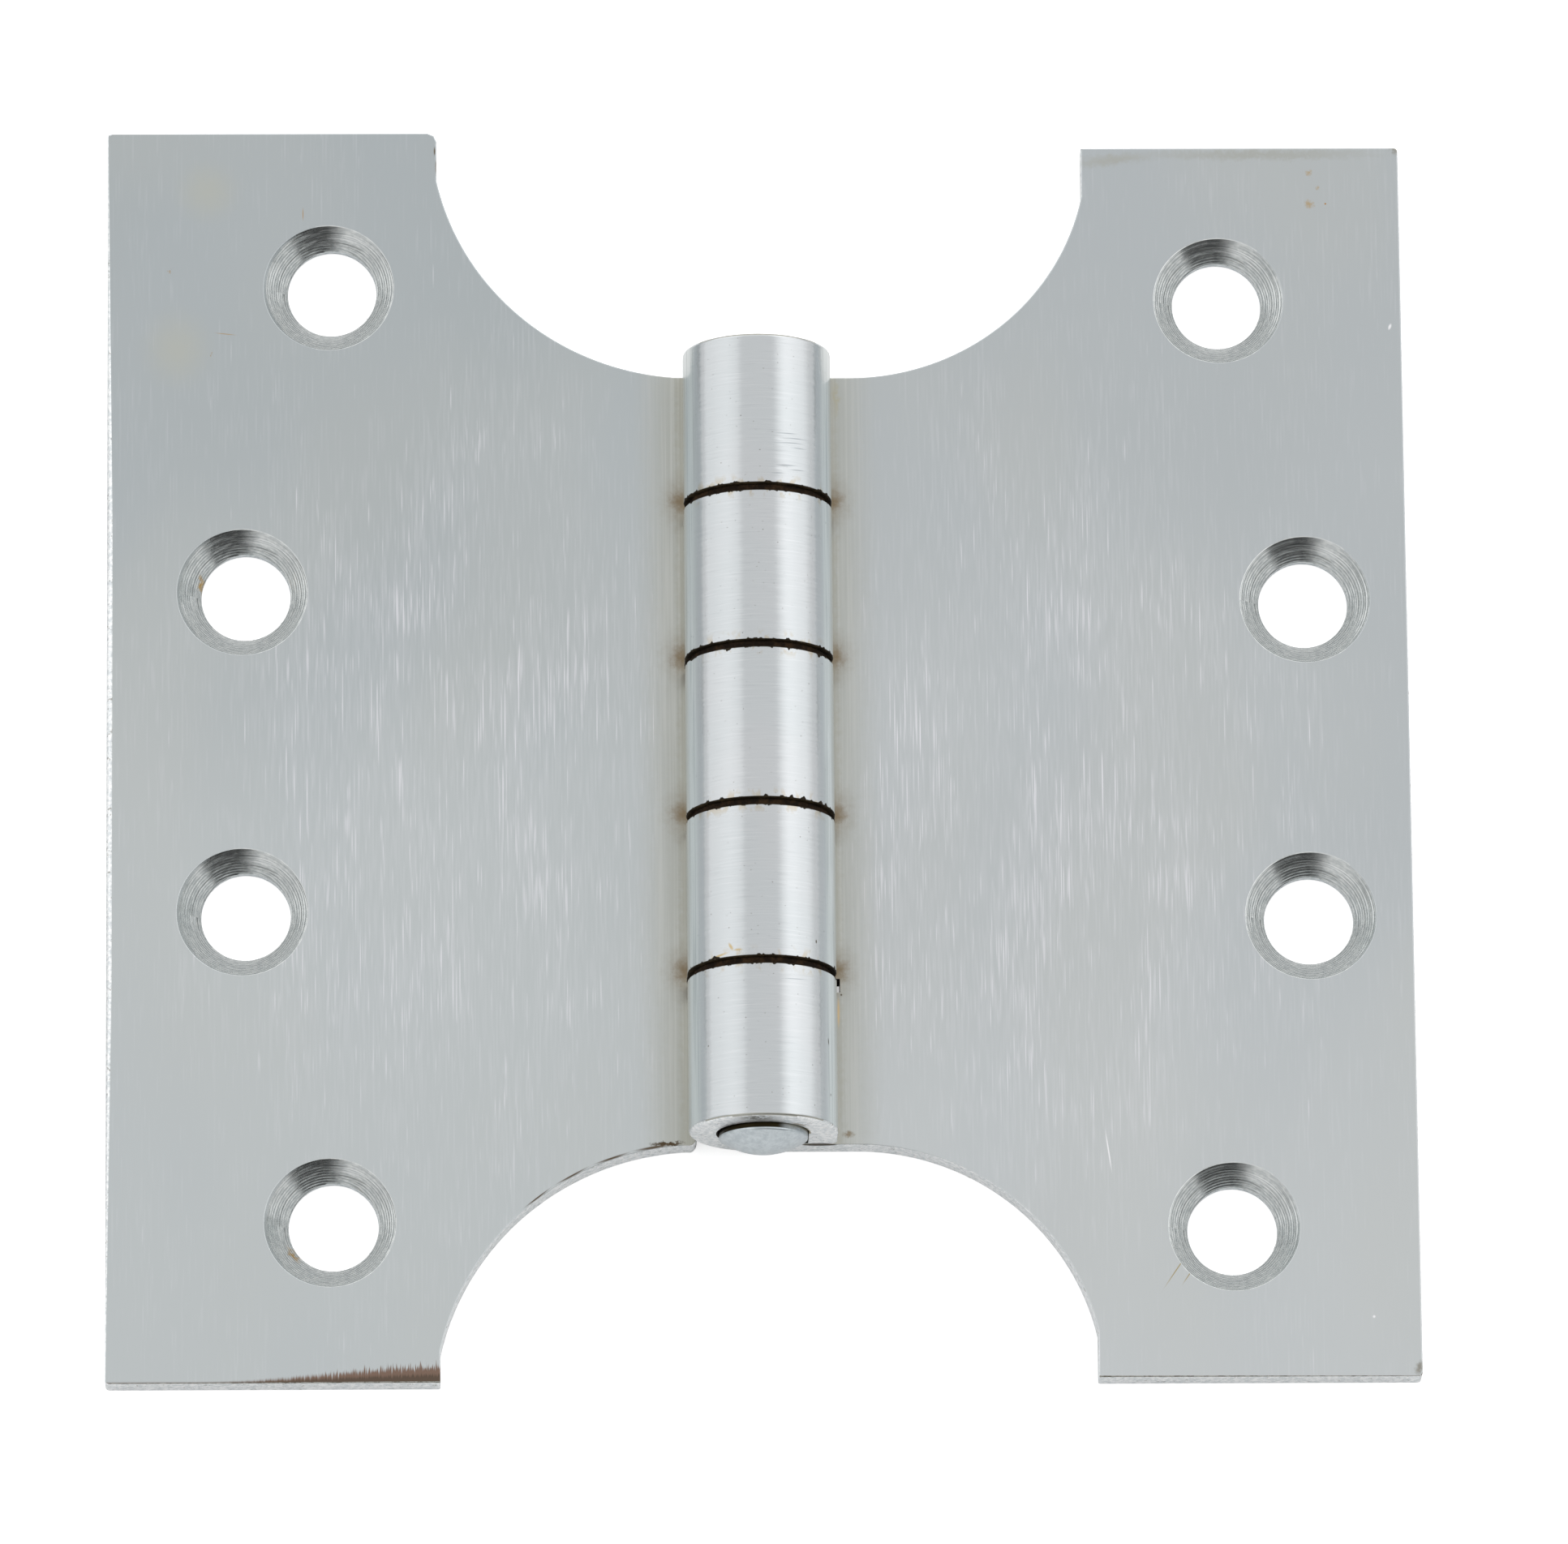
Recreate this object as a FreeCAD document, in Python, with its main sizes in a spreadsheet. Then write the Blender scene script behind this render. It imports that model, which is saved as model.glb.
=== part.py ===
import FreeCAD
import Part
import Sketcher
import enum
import math
import os

# Parliament hinge, 4 inch: two steel leaves with deep round cut-outs, rolled
# knuckles and a loose pin. It lies open and flat on the backs of its leaves.
# X runs across the leaves, Y along the pin, Z out of the countersunk faces.
# The origin is under the pin axis, on the back plane, at the middle of the length.

doc = FreeCAD.newDocument("parliament_hinge")

# Driving sizes in millimetres.
SIZES = [
    ("leaf_thickness", 2.3, "thickness of the sheet of both leaves"),
    ("leaf_reach", 51.0, "pin axis to the outer edge of a leaf"),
    ("pin_diameter", 6.9, "shank of the pin"),
    ("pin_clearance", 0.05, "radial running clearance between pin and knuckles"),
    ("knuckle_length", 12.24, "length of one knuckle"),
    ("knuckle_gap", 0.5, "gap between two knuckles"),
    ("seam_gap", 0.08, "gap between the end of the curl and the face of its leaf"),
    ("curl_corner", 0.8, "rounding at the end of the curl"),
    ("slot_clearance", 0.35, "clearance between a knuckle and the slot that it turns in"),
    ("rim_rounding", 0.3, "rounding of the outer ends of the first and last knuckle"),
    ("neck_drop", 0.8, "drop from the upper barrel end to the upper neck edge"),
    ("neck_rounding", 0.8, "rounding of the left leaf's neck corners"),
    ("scallop_angle", 78.0, "angle that each round cut-out sweeps"),
    ("left_length", 101.6, "length of the left leaf"),
    ("left_rise", 0.3, "middle of the left leaf above the middle of the barrel"),
    ("left_wing_width", 25.95, "width of the left leaf's wings"),
    ("left_scallop_tuck", 0.2, "centre of the left leaf's cut-outs inside the edge of its slots"),
    ("left_end_margin", 17.7, "outer edge to the end screw holes of the left leaf"),
    ("left_middle_margin", 10.9, "outer edge to the middle screw holes of the left leaf"),
    ("left_sink_offset", 0.3, "countersinks of the left leaf outwards from their holes"),
    ("right_length", 100.0, "length of the right leaf"),
    ("right_drop", 0.25, "middle of the right leaf below the middle of the barrel"),
    ("right_wing_width", 25.1, "width of the right leaf's wings"),
    ("right_neck_straight", 1.6, "straight neck edge of the right leaf beside the barrel"),
    ("right_end_margin", 14.5, "outer edge to the end screw holes of the right leaf"),
    ("right_middle_margin", 8.1, "outer edge to the middle screw holes of the right leaf"),
    ("right_sink_offset", 0.1, "countersinks of the right leaf outwards from their holes"),
    ("end_rows", 76.0, "distance between the two end screw holes"),
    ("middle_rows", 26.0, "distance between the two middle screw holes"),
    ("right_end_slip", 0.65, "upper end screw hole of the right leaf, down from its row"),
    ("right_middle_slip", 0.25, "upper middle screw hole of the right leaf, down from its row"),
    ("hole_diameter", 7.0, "clearance hole for the screw"),
    ("sink_diameter", 10.35, "rim of the countersink"),
    ("sink_angle", 90.0, "included angle of the countersink"),
    ("sink_pilot", 4.0, "pilot of the countersinking tool, inside the screw hole"),
    ("pin_reach", 0.35, "lower end of the pin's straight shank past the barrel end"),
    ("pin_recess", 0.25, "upper end of the pin's straight shank inside the barrel end"),
    ("pin_rim", 0.2, "rounded rim between shank and dome"),
    ("pin_dome", 1.0, "height of the domed pin end above its rim"),
    ("runout_width", 0.35, "saw run-out at the right leaf's lower slot, past the barrel"),
    ("runout_length", 1.1, "length of that run-out, up from the slot's lower end"),
]

sheet = doc.addObject("Spreadsheet::Sheet", "sizes")
for row, (alias, value, meaning) in enumerate(SIZES, start=1):
    sheet.set(f"A{row}", meaning)
    sheet.set(f"B{row}", str(value))
    sheet.setAlias(f"B{row}", alias)
doc.recompute()

# Sizes that follow from the driving ones, as expressions.
BORE_RADIUS = "(sizes.pin_diameter / 2 + sizes.pin_clearance)"
BARREL_RADIUS = f"({BORE_RADIUS} + sizes.leaf_thickness)"
PITCH = "(sizes.knuckle_length + sizes.knuckle_gap)"
BARREL_HALF = f"(2 * {PITCH} + sizes.knuckle_length / 2)"
SLOT_HALF = "(sizes.knuckle_length / 2 + sizes.knuckle_gap)"
SLOT_EDGE = f"sqrt(({BARREL_RADIUS} + sizes.slot_clearance) ^ 2 - {BORE_RADIUS} ^ 2)"
UPPER_NECK = f"({BARREL_HALF} - sizes.neck_drop)"
LEFT_CENTRE = f"({SLOT_EDGE} - sizes.left_scallop_tuck)"
RIGHT_CENTRE = f"({BARREL_RADIUS} + sizes.right_neck_straight)"
LEFT_SCALLOP = f"((sizes.leaf_reach - sizes.left_wing_width - {LEFT_CENTRE}) / sin(sizes.scallop_angle))"
RIGHT_SCALLOP = f"((sizes.leaf_reach - sizes.right_wing_width - {RIGHT_CENTRE}) / sin(sizes.scallop_angle))"
LEFT_TOP = "(sizes.left_length / 2 + sizes.left_rise)"
LEFT_BOTTOM = "(sizes.left_length / 2 - sizes.left_rise)"
RIGHT_TOP = "(sizes.right_length / 2 - sizes.right_drop)"
RIGHT_BOTTOM = "(sizes.right_length / 2 + sizes.right_drop)"
MIDDLE_SHIFT = f"-(max({LEFT_TOP}; {RIGHT_TOP}) - max({LEFT_BOTTOM}; {RIGHT_BOTTOM})) / 2"

# Cutting sketches run this far past the metal, in millimetres.
OVERRUN = 12.0


class At(enum.IntEnum):
    """How a sketch numbers the points of a line or an arc."""

    START = 1
    END = 2
    CENTRE = 3


class Axis(enum.IntEnum):
    """How a sketch numbers its own axes."""

    X = -1
    Y = -2


ORIGIN = (Axis.X, At.START)


def number(expression):
    """Value of an expression of the sheet."""
    return float(sheet.evalExpression(expression))


def origin_plane(body, role):
    """One of the three base planes of a body."""
    return next(f for f in body.Origin.OriginFeatures if f.Role == role)


def new_sketch(body, name, role, lift=None):
    """Empty sketch on a base plane of its body, lifted off it by an expression."""
    sketch = body.newObject("Sketcher::SketchObject", name)
    sketch.AttachmentSupport = [(origin_plane(body, role), "")]
    sketch.MapMode = "FlatFace"
    if lift:
        sketch.setExpression("AttachmentOffset.Base.z", lift)
    doc.recompute()
    return sketch


def dimension(sketch, kind, references, expression):
    """Dimension of a sketch, bound to an expression of the sheet."""
    value = abs(number(expression))
    if kind == "Angle":
        value = math.radians(value)
    index = sketch.addConstraint(Sketcher.Constraint(kind, *references, value))
    sketch.setExpression(f"Constraints[{index}]", expression)


def place_point(sketch, geometry, point, x, y):
    """Fixes a point by its distances from the sketch's origin, both given as expressions."""
    for kind, axis, expression in (("DistanceX", Axis.Y, x), ("DistanceY", Axis.X, y)):
        if expression == "0":
            sketch.addConstraint(Sketcher.Constraint("PointOnObject", geometry, point, axis))
        elif number(expression) > 0:
            dimension(sketch, kind, (*ORIGIN, geometry, point), expression)
        else:
            dimension(sketch, kind, (geometry, point, *ORIGIN), f"-({expression})")


def join(sketch, first, first_point, second, second_point):
    """Closes the outline between two of its lines or arcs."""
    sketch.addConstraint(Sketcher.Constraint("Coincident", first, first_point, second, second_point))


def smooth_join(sketch, first, first_point, second, second_point):
    """Closes the outline without a kink."""
    sketch.addConstraint(Sketcher.Constraint("Tangent", first, first_point, second, second_point))


def line(sketch, start, end):
    """Straight line between two points given as numbers, for the solver to start from."""
    a = FreeCAD.Vector(start[0], start[1], 0)
    b = FreeCAD.Vector(end[0], end[1], 0)
    return sketch.addGeometry(Part.LineSegment(a, b), False)


def arc(sketch, centre, radius, start_angle, end_angle):
    """Anticlockwise arc given as numbers, for the solver to start from."""
    middle = FreeCAD.Vector(centre[0], centre[1], 0)
    circle = Part.Circle(middle, FreeCAD.Vector(0, 0, 1), radius)
    return sketch.addGeometry(Part.ArcOfCircle(circle, start_angle, end_angle), False)


def rectangle(sketch, low_x, high_x, low_y, high_y):
    """Rectangle whose four sides are expressions."""
    x0, x1, y0, y1 = (number(e) for e in (low_x, high_x, low_y, high_y))
    corners = [(x0, y0), (x1, y0), (x1, y1), (x0, y1)]
    sides = [line(sketch, corners[i], corners[(i + 1) % 4]) for i in range(4)]
    for i, side in enumerate(sides):
        join(sketch, side, At.END, sides[(i + 1) % 4], At.START)
        direction = "Horizontal" if i % 2 == 0 else "Vertical"
        sketch.addConstraint(Sketcher.Constraint(direction, side))
    place_point(sketch, sides[0], At.START, low_x, low_y)
    place_point(sketch, sides[2], At.START, high_x, high_y)


def pad_plate(body, prefix, low_y, high_y):
    """Flat blank of a leaf, from under the pin axis to the outer edge."""
    sketch = new_sketch(body, f"{prefix}_blank_outline", "XY_Plane")
    rectangle(sketch, "0", "sizes.leaf_reach", low_y, high_y)
    pad = body.newObject("PartDesign::Pad", f"{prefix}_blank")
    pad.Profile = sketch
    pad.setExpression("Length", "sizes.leaf_thickness")
    doc.recompute()
    return pad


def pocket(body, sketch, name, reach="both ways"):
    """Cuts a sketch through everything both ways, only upwards, or only through the sheet."""
    before = body.Shape.Volume
    cut = body.newObject("PartDesign::Pocket", name)
    cut.Profile = sketch
    cut.Midplane = reach == "both ways"
    cut.Reversed = reach != "both ways"
    if reach == "sheet":
        cut.Type = "Length"
        cut.setExpression("Length", "sizes.leaf_thickness")
    else:
        cut.Type = "ThroughAll"
    doc.recompute()
    if not body.Shape.Volume < before:
        raise RuntimeError(f"{name} cuts nothing")
    return cut


def scallop_outline(sketch, centre_place, scallop_radius, neck, outer, sign):
    """Outline of one round cut-out: neck edge, arc, straight wing edge and open end."""
    centre_x = number(centre_place)
    radius = number(scallop_radius)
    sweep = math.radians(number("sizes.scallop_angle"))
    edge = sign * number(neck)
    far = sign * number(outer)
    centre = (centre_x, edge + sign * radius)
    if sign > 0:
        curve = arc(sketch, centre, radius, -math.pi / 2, -math.pi / 2 + sweep)
        at_neck, at_wing = At.START, At.END
    else:
        curve = arc(sketch, centre, radius, math.pi / 2 - sweep, math.pi / 2)
        at_neck, at_wing = At.END, At.START
    wing_x = centre_x + radius * math.sin(sweep)
    wing_y = centre[1] - sign * radius * math.cos(sweep)
    left_x = -number(BARREL_RADIUS)
    neck_line = line(sketch, (left_x, edge), (centre_x, edge))
    wing_line = line(sketch, (wing_x, wing_y), (wing_x, far))
    open_line = line(sketch, (wing_x, far), (left_x, far))
    back_line = line(sketch, (left_x, far), (left_x, edge))
    smooth_join(sketch, neck_line, At.END, curve, at_neck)
    join(sketch, curve, at_wing, wing_line, At.START)
    join(sketch, wing_line, At.END, open_line, At.START)
    join(sketch, open_line, At.END, back_line, At.START)
    join(sketch, back_line, At.END, neck_line, At.START)
    for level in (neck_line, open_line):
        sketch.addConstraint(Sketcher.Constraint("Horizontal", level))
    for upright in (wing_line, back_line):
        sketch.addConstraint(Sketcher.Constraint("Vertical", upright))
    dimension(sketch, "Radius", (curve,), scallop_radius)
    dimension(sketch, "Angle", (curve,), "sizes.scallop_angle")
    dimension(sketch, "DistanceX", (*ORIGIN, curve, At.CENTRE), centre_place)
    signed = "" if sign > 0 else "-"
    place_point(sketch, back_line, At.END, f"-{BARREL_RADIUS}", f"{signed}{neck}")
    heights = (*ORIGIN, open_line, At.START) if sign > 0 else (open_line, At.START, *ORIGIN)
    dimension(sketch, "DistanceY", heights, outer)


def cut_scallops(body, prefix, centre_place, radius, low_neck, high_neck, low_y, high_y):
    """Deep round cut-outs that leave two wings and a narrow neck."""
    sketch = new_sketch(body, f"{prefix}_scallop_outline", "XY_Plane")
    scallop_outline(sketch, centre_place, radius, high_neck, f"({high_y} + {OVERRUN})", 1)
    scallop_outline(sketch, centre_place, radius, low_neck, f"({low_y} + {OVERRUN})", -1)
    return pocket(body, sketch, f"{prefix}_scallops")


def pad_curl(body, prefix):
    """Knuckle section: the sheet runs under the pin, three quarters round it and down."""
    radius = number(BARREL_RADIUS)
    bore = number(BORE_RADIUS)
    thickness = number("sizes.leaf_thickness")
    seam = number("sizes.leaf_thickness + sizes.seam_gap")
    corner = number("sizes.curl_corner")
    sketch = new_sketch(body, f"{prefix}_curl_section", "XZ_Plane")
    edge = number(SLOT_EDGE)
    outer = arc(sketch, (0, radius), radius, 0, 1.5 * math.pi)
    under = line(sketch, (0, 0), (edge, 0))
    root = line(sketch, (edge, 0), (edge, thickness))
    face = line(sketch, (edge, thickness), (0, thickness))
    inner = arc(sketch, (0, radius), bore, 0, 1.5 * math.pi)
    leg_inside = line(sketch, (bore, radius), (bore, seam))
    leg_end = line(sketch, (bore, seam), (radius - corner, seam))
    rounding = arc(sketch, (radius - corner, seam + corner), corner, 1.5 * math.pi, 2 * math.pi)
    leg_outside = line(sketch, (radius, seam + corner), (radius, radius))
    smooth_join(sketch, outer, At.END, under, At.START)
    join(sketch, under, At.END, root, At.START)
    join(sketch, root, At.END, face, At.START)
    smooth_join(sketch, face, At.END, inner, At.END)
    smooth_join(sketch, inner, At.START, leg_inside, At.START)
    join(sketch, leg_inside, At.END, leg_end, At.START)
    smooth_join(sketch, leg_end, At.END, rounding, At.START)
    smooth_join(sketch, rounding, At.END, leg_outside, At.START)
    smooth_join(sketch, leg_outside, At.END, outer, At.START)
    join(sketch, outer, At.CENTRE, inner, At.CENTRE)
    for level in (under, leg_end):
        sketch.addConstraint(Sketcher.Constraint("Horizontal", level))
    sketch.addConstraint(Sketcher.Constraint("Vertical", root))
    sketch.addConstraint(Sketcher.Constraint("Vertical", leg_outside))
    place_point(sketch, outer, At.CENTRE, "0", BARREL_RADIUS)
    dimension(sketch, "Radius", (outer,), BARREL_RADIUS)
    dimension(sketch, "Radius", (inner,), BORE_RADIUS)
    dimension(sketch, "Radius", (rounding,), "sizes.curl_corner")
    dimension(sketch, "DistanceX", (*ORIGIN, root, At.START), SLOT_EDGE)
    dimension(sketch, "DistanceY", (*ORIGIN, leg_end, At.START), "sizes.leaf_thickness + sizes.seam_gap")
    pad = body.newObject("PartDesign::Pad", f"{prefix}_curl")
    pad.Profile = sketch
    pad.Midplane = True
    pad.setExpression("Length", f"2 * {BARREL_HALF}")
    doc.recompute()
    return pad


def cut_knuckle_slots(body, prefix, slots):
    """Room for the other leaf's knuckles: slots in the sheet, and none of the curl above them."""
    far_side = f"({BARREL_RADIUS} + {OVERRUN})"
    sketch = new_sketch(body, f"{prefix}_slot_outline", "XY_Plane")
    for low_y, high_y in slots:
        rectangle(sketch, f"-{far_side}", SLOT_EDGE, low_y, high_y)
    pocket(body, sketch, f"{prefix}_slots")
    sketch = new_sketch(body, f"{prefix}_curl_gap_outline", "XY_Plane", "sizes.leaf_thickness")
    for low_y, high_y in slots:
        rectangle(sketch, f"-{far_side}", far_side, low_y, high_y)
    return pocket(body, sketch, f"{prefix}_curl_gaps", "upwards")


def cut_runout(body, prefix, slot_end):
    """Where the saw that made a slot ran past its corner, beside the next knuckle."""
    sketch = new_sketch(body, f"{prefix}_runout_outline", "XY_Plane")
    inside = f"({SLOT_EDGE} - sizes.runout_width)"
    outside = f"({BARREL_RADIUS} + sizes.runout_width)"
    rectangle(
        sketch,
        inside, outside,
        slot_end, f"({slot_end} + sizes.runout_length)",
    )
    return pocket(body, sketch, f"{prefix}_runout", "sheet")


def hole_circles(sketch, places, diameter):
    """Equal circles at places given as pairs of expressions."""
    for x, y in places:
        centre = FreeCAD.Vector(number(x), number(y), 0)
        circle = Part.Circle(centre, FreeCAD.Vector(0, 0, 1), number(diameter) / 2)
        index = sketch.addGeometry(circle, False)
        place_point(sketch, index, At.CENTRE, x, y)
        dimension(sketch, "Diameter", (index,), diameter)


def hole_places(prefix, middle, slips, offset):
    """Two end holes in the wings and two middle holes nearer the outer edge."""
    places = []
    for row, slip in zip(("end", "middle"), slips):
        x = f"(sizes.leaf_reach - sizes.{prefix}_{row}_margin + {offset})"
        places.append((x, f"(sizes.{row}_rows / 2 - {slip} + {middle})"))
        places.append((x, f"(-sizes.{row}_rows / 2 + {middle})"))
    return places


def drill_and_countersink(body, prefix, middle, slips):
    """Screw holes, and countersinks that sit slightly off their centres."""
    sketch = new_sketch(body, f"{prefix}_hole_places", "XY_Plane")
    hole_circles(sketch, hole_places(prefix, middle, slips, "0"), "sizes.hole_diameter")
    pocket(body, sketch, f"{prefix}_holes")
    lift = "sizes.leaf_thickness"
    sketch = new_sketch(body, f"{prefix}_sink_places", "XY_Plane", lift)
    places = hole_places(prefix, middle, slips, f"sizes.{prefix}_sink_offset")
    hole_circles(sketch, places, "sizes.sink_pilot")
    before = body.Shape.Volume
    sink = body.newObject("PartDesign::Hole", f"{prefix}_countersinks")
    sink.Profile = sketch
    doc.recompute()
    sink.ThreadType = 0
    sink.DepthType = "ThroughAll"
    sink.HoleCutType = "Countersink"
    sink.HoleCutCustomValues = True
    sink.setExpression("Diameter", "sizes.sink_pilot")
    sink.setExpression("HoleCutDiameter", "sizes.sink_diameter")
    sink.setExpression("HoleCutCountersinkAngle", "sizes.sink_angle")
    doc.recompute()
    if not body.Shape.Volume < before:
        raise RuntimeError(f"{prefix}_countersinks cuts nothing")
    return sink


# Sizes that differ by less than this are the same, in millimetres.
TOLERANCE = 0.0001


def same(first, second):
    """True if two places or sizes agree."""
    return abs(first - second) < TOLERANCE


def edges_where(shape, test):
    """Names of the edges of a shape that pass a test."""
    return [f"Edge{i}" for i, edge in enumerate(shape.Edges, start=1) if test(edge)]


def round_edges(body, name, test, radius):
    """Rounds the edges of the body so far that pass a test."""
    base = body.Tip
    names = edges_where(base.Shape, test)
    if not names:
        raise RuntimeError(f"{name} finds no edge")
    fillet = body.newObject("PartDesign::Fillet", name)
    fillet.Base = (base, names)
    fillet.setExpression("Radius", radius)
    doc.recompute()
    return fillet


def is_barrel_rim(edge):
    """Outer circular edge at either end of the whole barrel."""
    if not isinstance(edge.Curve, Part.Circle):
        return False
    on_end = same(abs(edge.Curve.Center.y), number(BARREL_HALF))
    return on_end and same(edge.Curve.Radius, number(BARREL_RADIUS))


def is_neck_corner(edge):
    """Upright edge where a neck edge of the left leaf meets its slot."""
    ends = [v.Point for v in edge.Vertexes]
    if len(ends) != 2:
        return False
    upright = same(ends[0].x, ends[1].x) and same(ends[0].y, ends[1].y)
    at_neck = abs(ends[0].y) > number(UPPER_NECK) - TOLERANCE
    return upright and at_neck and same(ends[0].x, number(SLOT_EDGE))


def make_leaf(label, prefix, low_y, high_y, centre_place, radius, low_neck, high_neck, middle, slips, slots):
    """One leaf, lying with its sheet towards +X."""
    body = doc.addObject("PartDesign::Body", label)
    body.Label = label
    pad_plate(body, prefix, f"-{low_y}", high_y)
    cut_scallops(body, prefix, centre_place, radius, low_neck, high_neck, low_y, high_y)
    pad_curl(body, prefix)
    cut_knuckle_slots(body, prefix, slots)
    drill_and_countersink(body, prefix, middle, slips)
    return body


# Right leaf: first, third and fifth knuckle.
right_slots = [
    (f"({PITCH} - {SLOT_HALF})", f"({PITCH} + {SLOT_HALF})"),
    (f"-({PITCH} + {SLOT_HALF})", f"-({PITCH} - {SLOT_HALF})"),
]
right_leaf = make_leaf(
    "right_leaf", "right",
    RIGHT_BOTTOM, RIGHT_TOP,
    RIGHT_CENTRE, RIGHT_SCALLOP,
    BARREL_HALF, UPPER_NECK,
    "(-sizes.right_drop)",
    ("sizes.right_end_slip", "sizes.right_middle_slip"),
    right_slots,
)
cut_runout(right_leaf, "right", f"-({PITCH} + {SLOT_HALF})")
round_edges(right_leaf, "right_rim_rounding", is_barrel_rim, "sizes.rim_rounding")
right_leaf.setExpression("Placement.Base.y", MIDDLE_SHIFT)

# Left leaf: second and fourth knuckle. It is made facing +X and turned half round,
# so its own +Y end is the lower one.
end_slot = f"(2 * {PITCH} - {SLOT_HALF})"
past_end = f"({BARREL_HALF} + {OVERRUN})"
left_slots = [
    (end_slot, past_end),
    (f"-{SLOT_HALF}", SLOT_HALF),
    (f"-{past_end}", f"-{end_slot}"),
]
left_leaf = make_leaf(
    "left_leaf", "left",
    LEFT_TOP, LEFT_BOTTOM,
    LEFT_CENTRE, LEFT_SCALLOP,
    UPPER_NECK, BARREL_HALF,
    "(-sizes.left_rise)",
    ("0", "0"),
    left_slots,
)
round_edges(left_leaf, "left_neck_rounding", is_neck_corner, "sizes.neck_rounding")
half_turn = FreeCAD.Rotation(FreeCAD.Vector(0, 0, 1), 180)
left_leaf.Placement = FreeCAD.Placement(FreeCAD.Vector(0, 0, 0), half_turn)
left_leaf.setExpression("Placement.Base.y", MIDDLE_SHIFT)

# Pin: a turned shank with rounded rims and domed ends. It has slid down, so that its
# lower end stands proud of the barrel and its upper end lies inside.
pin = doc.addObject("PartDesign::Body", "hinge_pin")
pin.Label = "hinge_pin"
shank_radius = number("sizes.pin_diameter / 2")
rim = number("sizes.pin_rim")
dome = number("sizes.pin_dome")
low_end = number(f"{BARREL_HALF} + sizes.pin_reach")
high_end = number(f"{BARREL_HALF} - sizes.pin_recess")
dome_foot = shank_radius - rim
dome_radius = (dome_foot ** 2 + dome ** 2) / (2 * dome)
dome_spread = math.asin(dome_foot / dome_radius)
low_tip = low_end + rim + dome
high_tip = high_end + rim + dome

section = new_sketch(pin, "pin_section", "XY_Plane")
axis_line = line(section, (0, high_tip), (0, -low_tip))
low_dome = arc(section, (0, -low_tip + dome_radius), dome_radius, -math.pi / 2, -math.pi / 2 + dome_spread)
low_rim = arc(section, (dome_foot, -low_end), rim, -math.pi / 2, 0)
side = line(section, (shank_radius, -low_end), (shank_radius, high_end))
high_rim = arc(section, (dome_foot, high_end), rim, 0, math.pi / 2)
high_dome = arc(section, (0, high_tip - dome_radius), dome_radius, math.pi / 2 - dome_spread, math.pi / 2)
join(section, axis_line, At.END, low_dome, At.START)
join(section, low_dome, At.END, low_rim, At.START)
smooth_join(section, low_rim, At.END, side, At.START)
smooth_join(section, side, At.END, high_rim, At.START)
join(section, high_rim, At.END, high_dome, At.START)
join(section, high_dome, At.END, axis_line, At.START)
for point in ((axis_line, At.START), (axis_line, At.END), (low_dome, At.CENTRE), (high_dome, At.CENTRE)):
    section.addConstraint(Sketcher.Constraint("PointOnObject", *point, Axis.Y))
section.addConstraint(Sketcher.Constraint("Vertical", side))
section.addConstraint(Sketcher.Constraint("Vertical", low_rim, At.START, low_rim, At.CENTRE))
section.addConstraint(Sketcher.Constraint("Vertical", high_rim, At.END, high_rim, At.CENTRE))
dimension(section, "DistanceX", (*ORIGIN, side, At.START), "sizes.pin_diameter / 2")
dimension(section, "DistanceY", (*ORIGIN, side, At.END), f"{BARREL_HALF} - sizes.pin_recess")
dimension(section, "DistanceY", (side, At.START, *ORIGIN), f"{BARREL_HALF} + sizes.pin_reach")
for corner_arc in (low_rim, high_rim):
    dimension(section, "Radius", (corner_arc,), "sizes.pin_rim")
dimension(section, "DistanceY", (high_rim, At.END, high_dome, At.END), "sizes.pin_dome")
dimension(section, "DistanceY", (low_dome, At.START, low_rim, At.START), "sizes.pin_dome")
turned = pin.newObject("PartDesign::Revolution", "turned_pin")
turned.Profile = section
turned.ReferenceAxis = (section, ["V_Axis"])
turned.Angle = 360.0
pin.setExpression("Placement.Base.y", MIDDLE_SHIFT)
pin.setExpression("Placement.Base.z", BARREL_RADIUS)
doc.recompute()

# Nothing is written unless every object and every sub-part is sound.
for item in doc.Objects:
    if "Invalid" in item.State or "Error" in item.State:
        raise RuntimeError(f"{item.Name} failed")
SUB_PARTS = [left_leaf, right_leaf, pin]
for sub_part in SUB_PARTS:
    shape = sub_part.Shape
    if shape.isNull() or not shape.isValid() or len(shape.Solids) != 1:
        raise RuntimeError(f"{sub_part.Label} is not one sound solid")

os.makedirs("parts", exist_ok=True)
for sub_part in SUB_PARTS:
    sub_part.Shape.exportStep(f"parts/{sub_part.Label}.step")
    box = sub_part.Shape.BoundBox
    print(sub_part.Label, [round(v, 2) for v in (box.XMin, box.XMax, box.YMin, box.YMax, box.ZMin, box.ZMax)])
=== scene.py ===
import math

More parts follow.
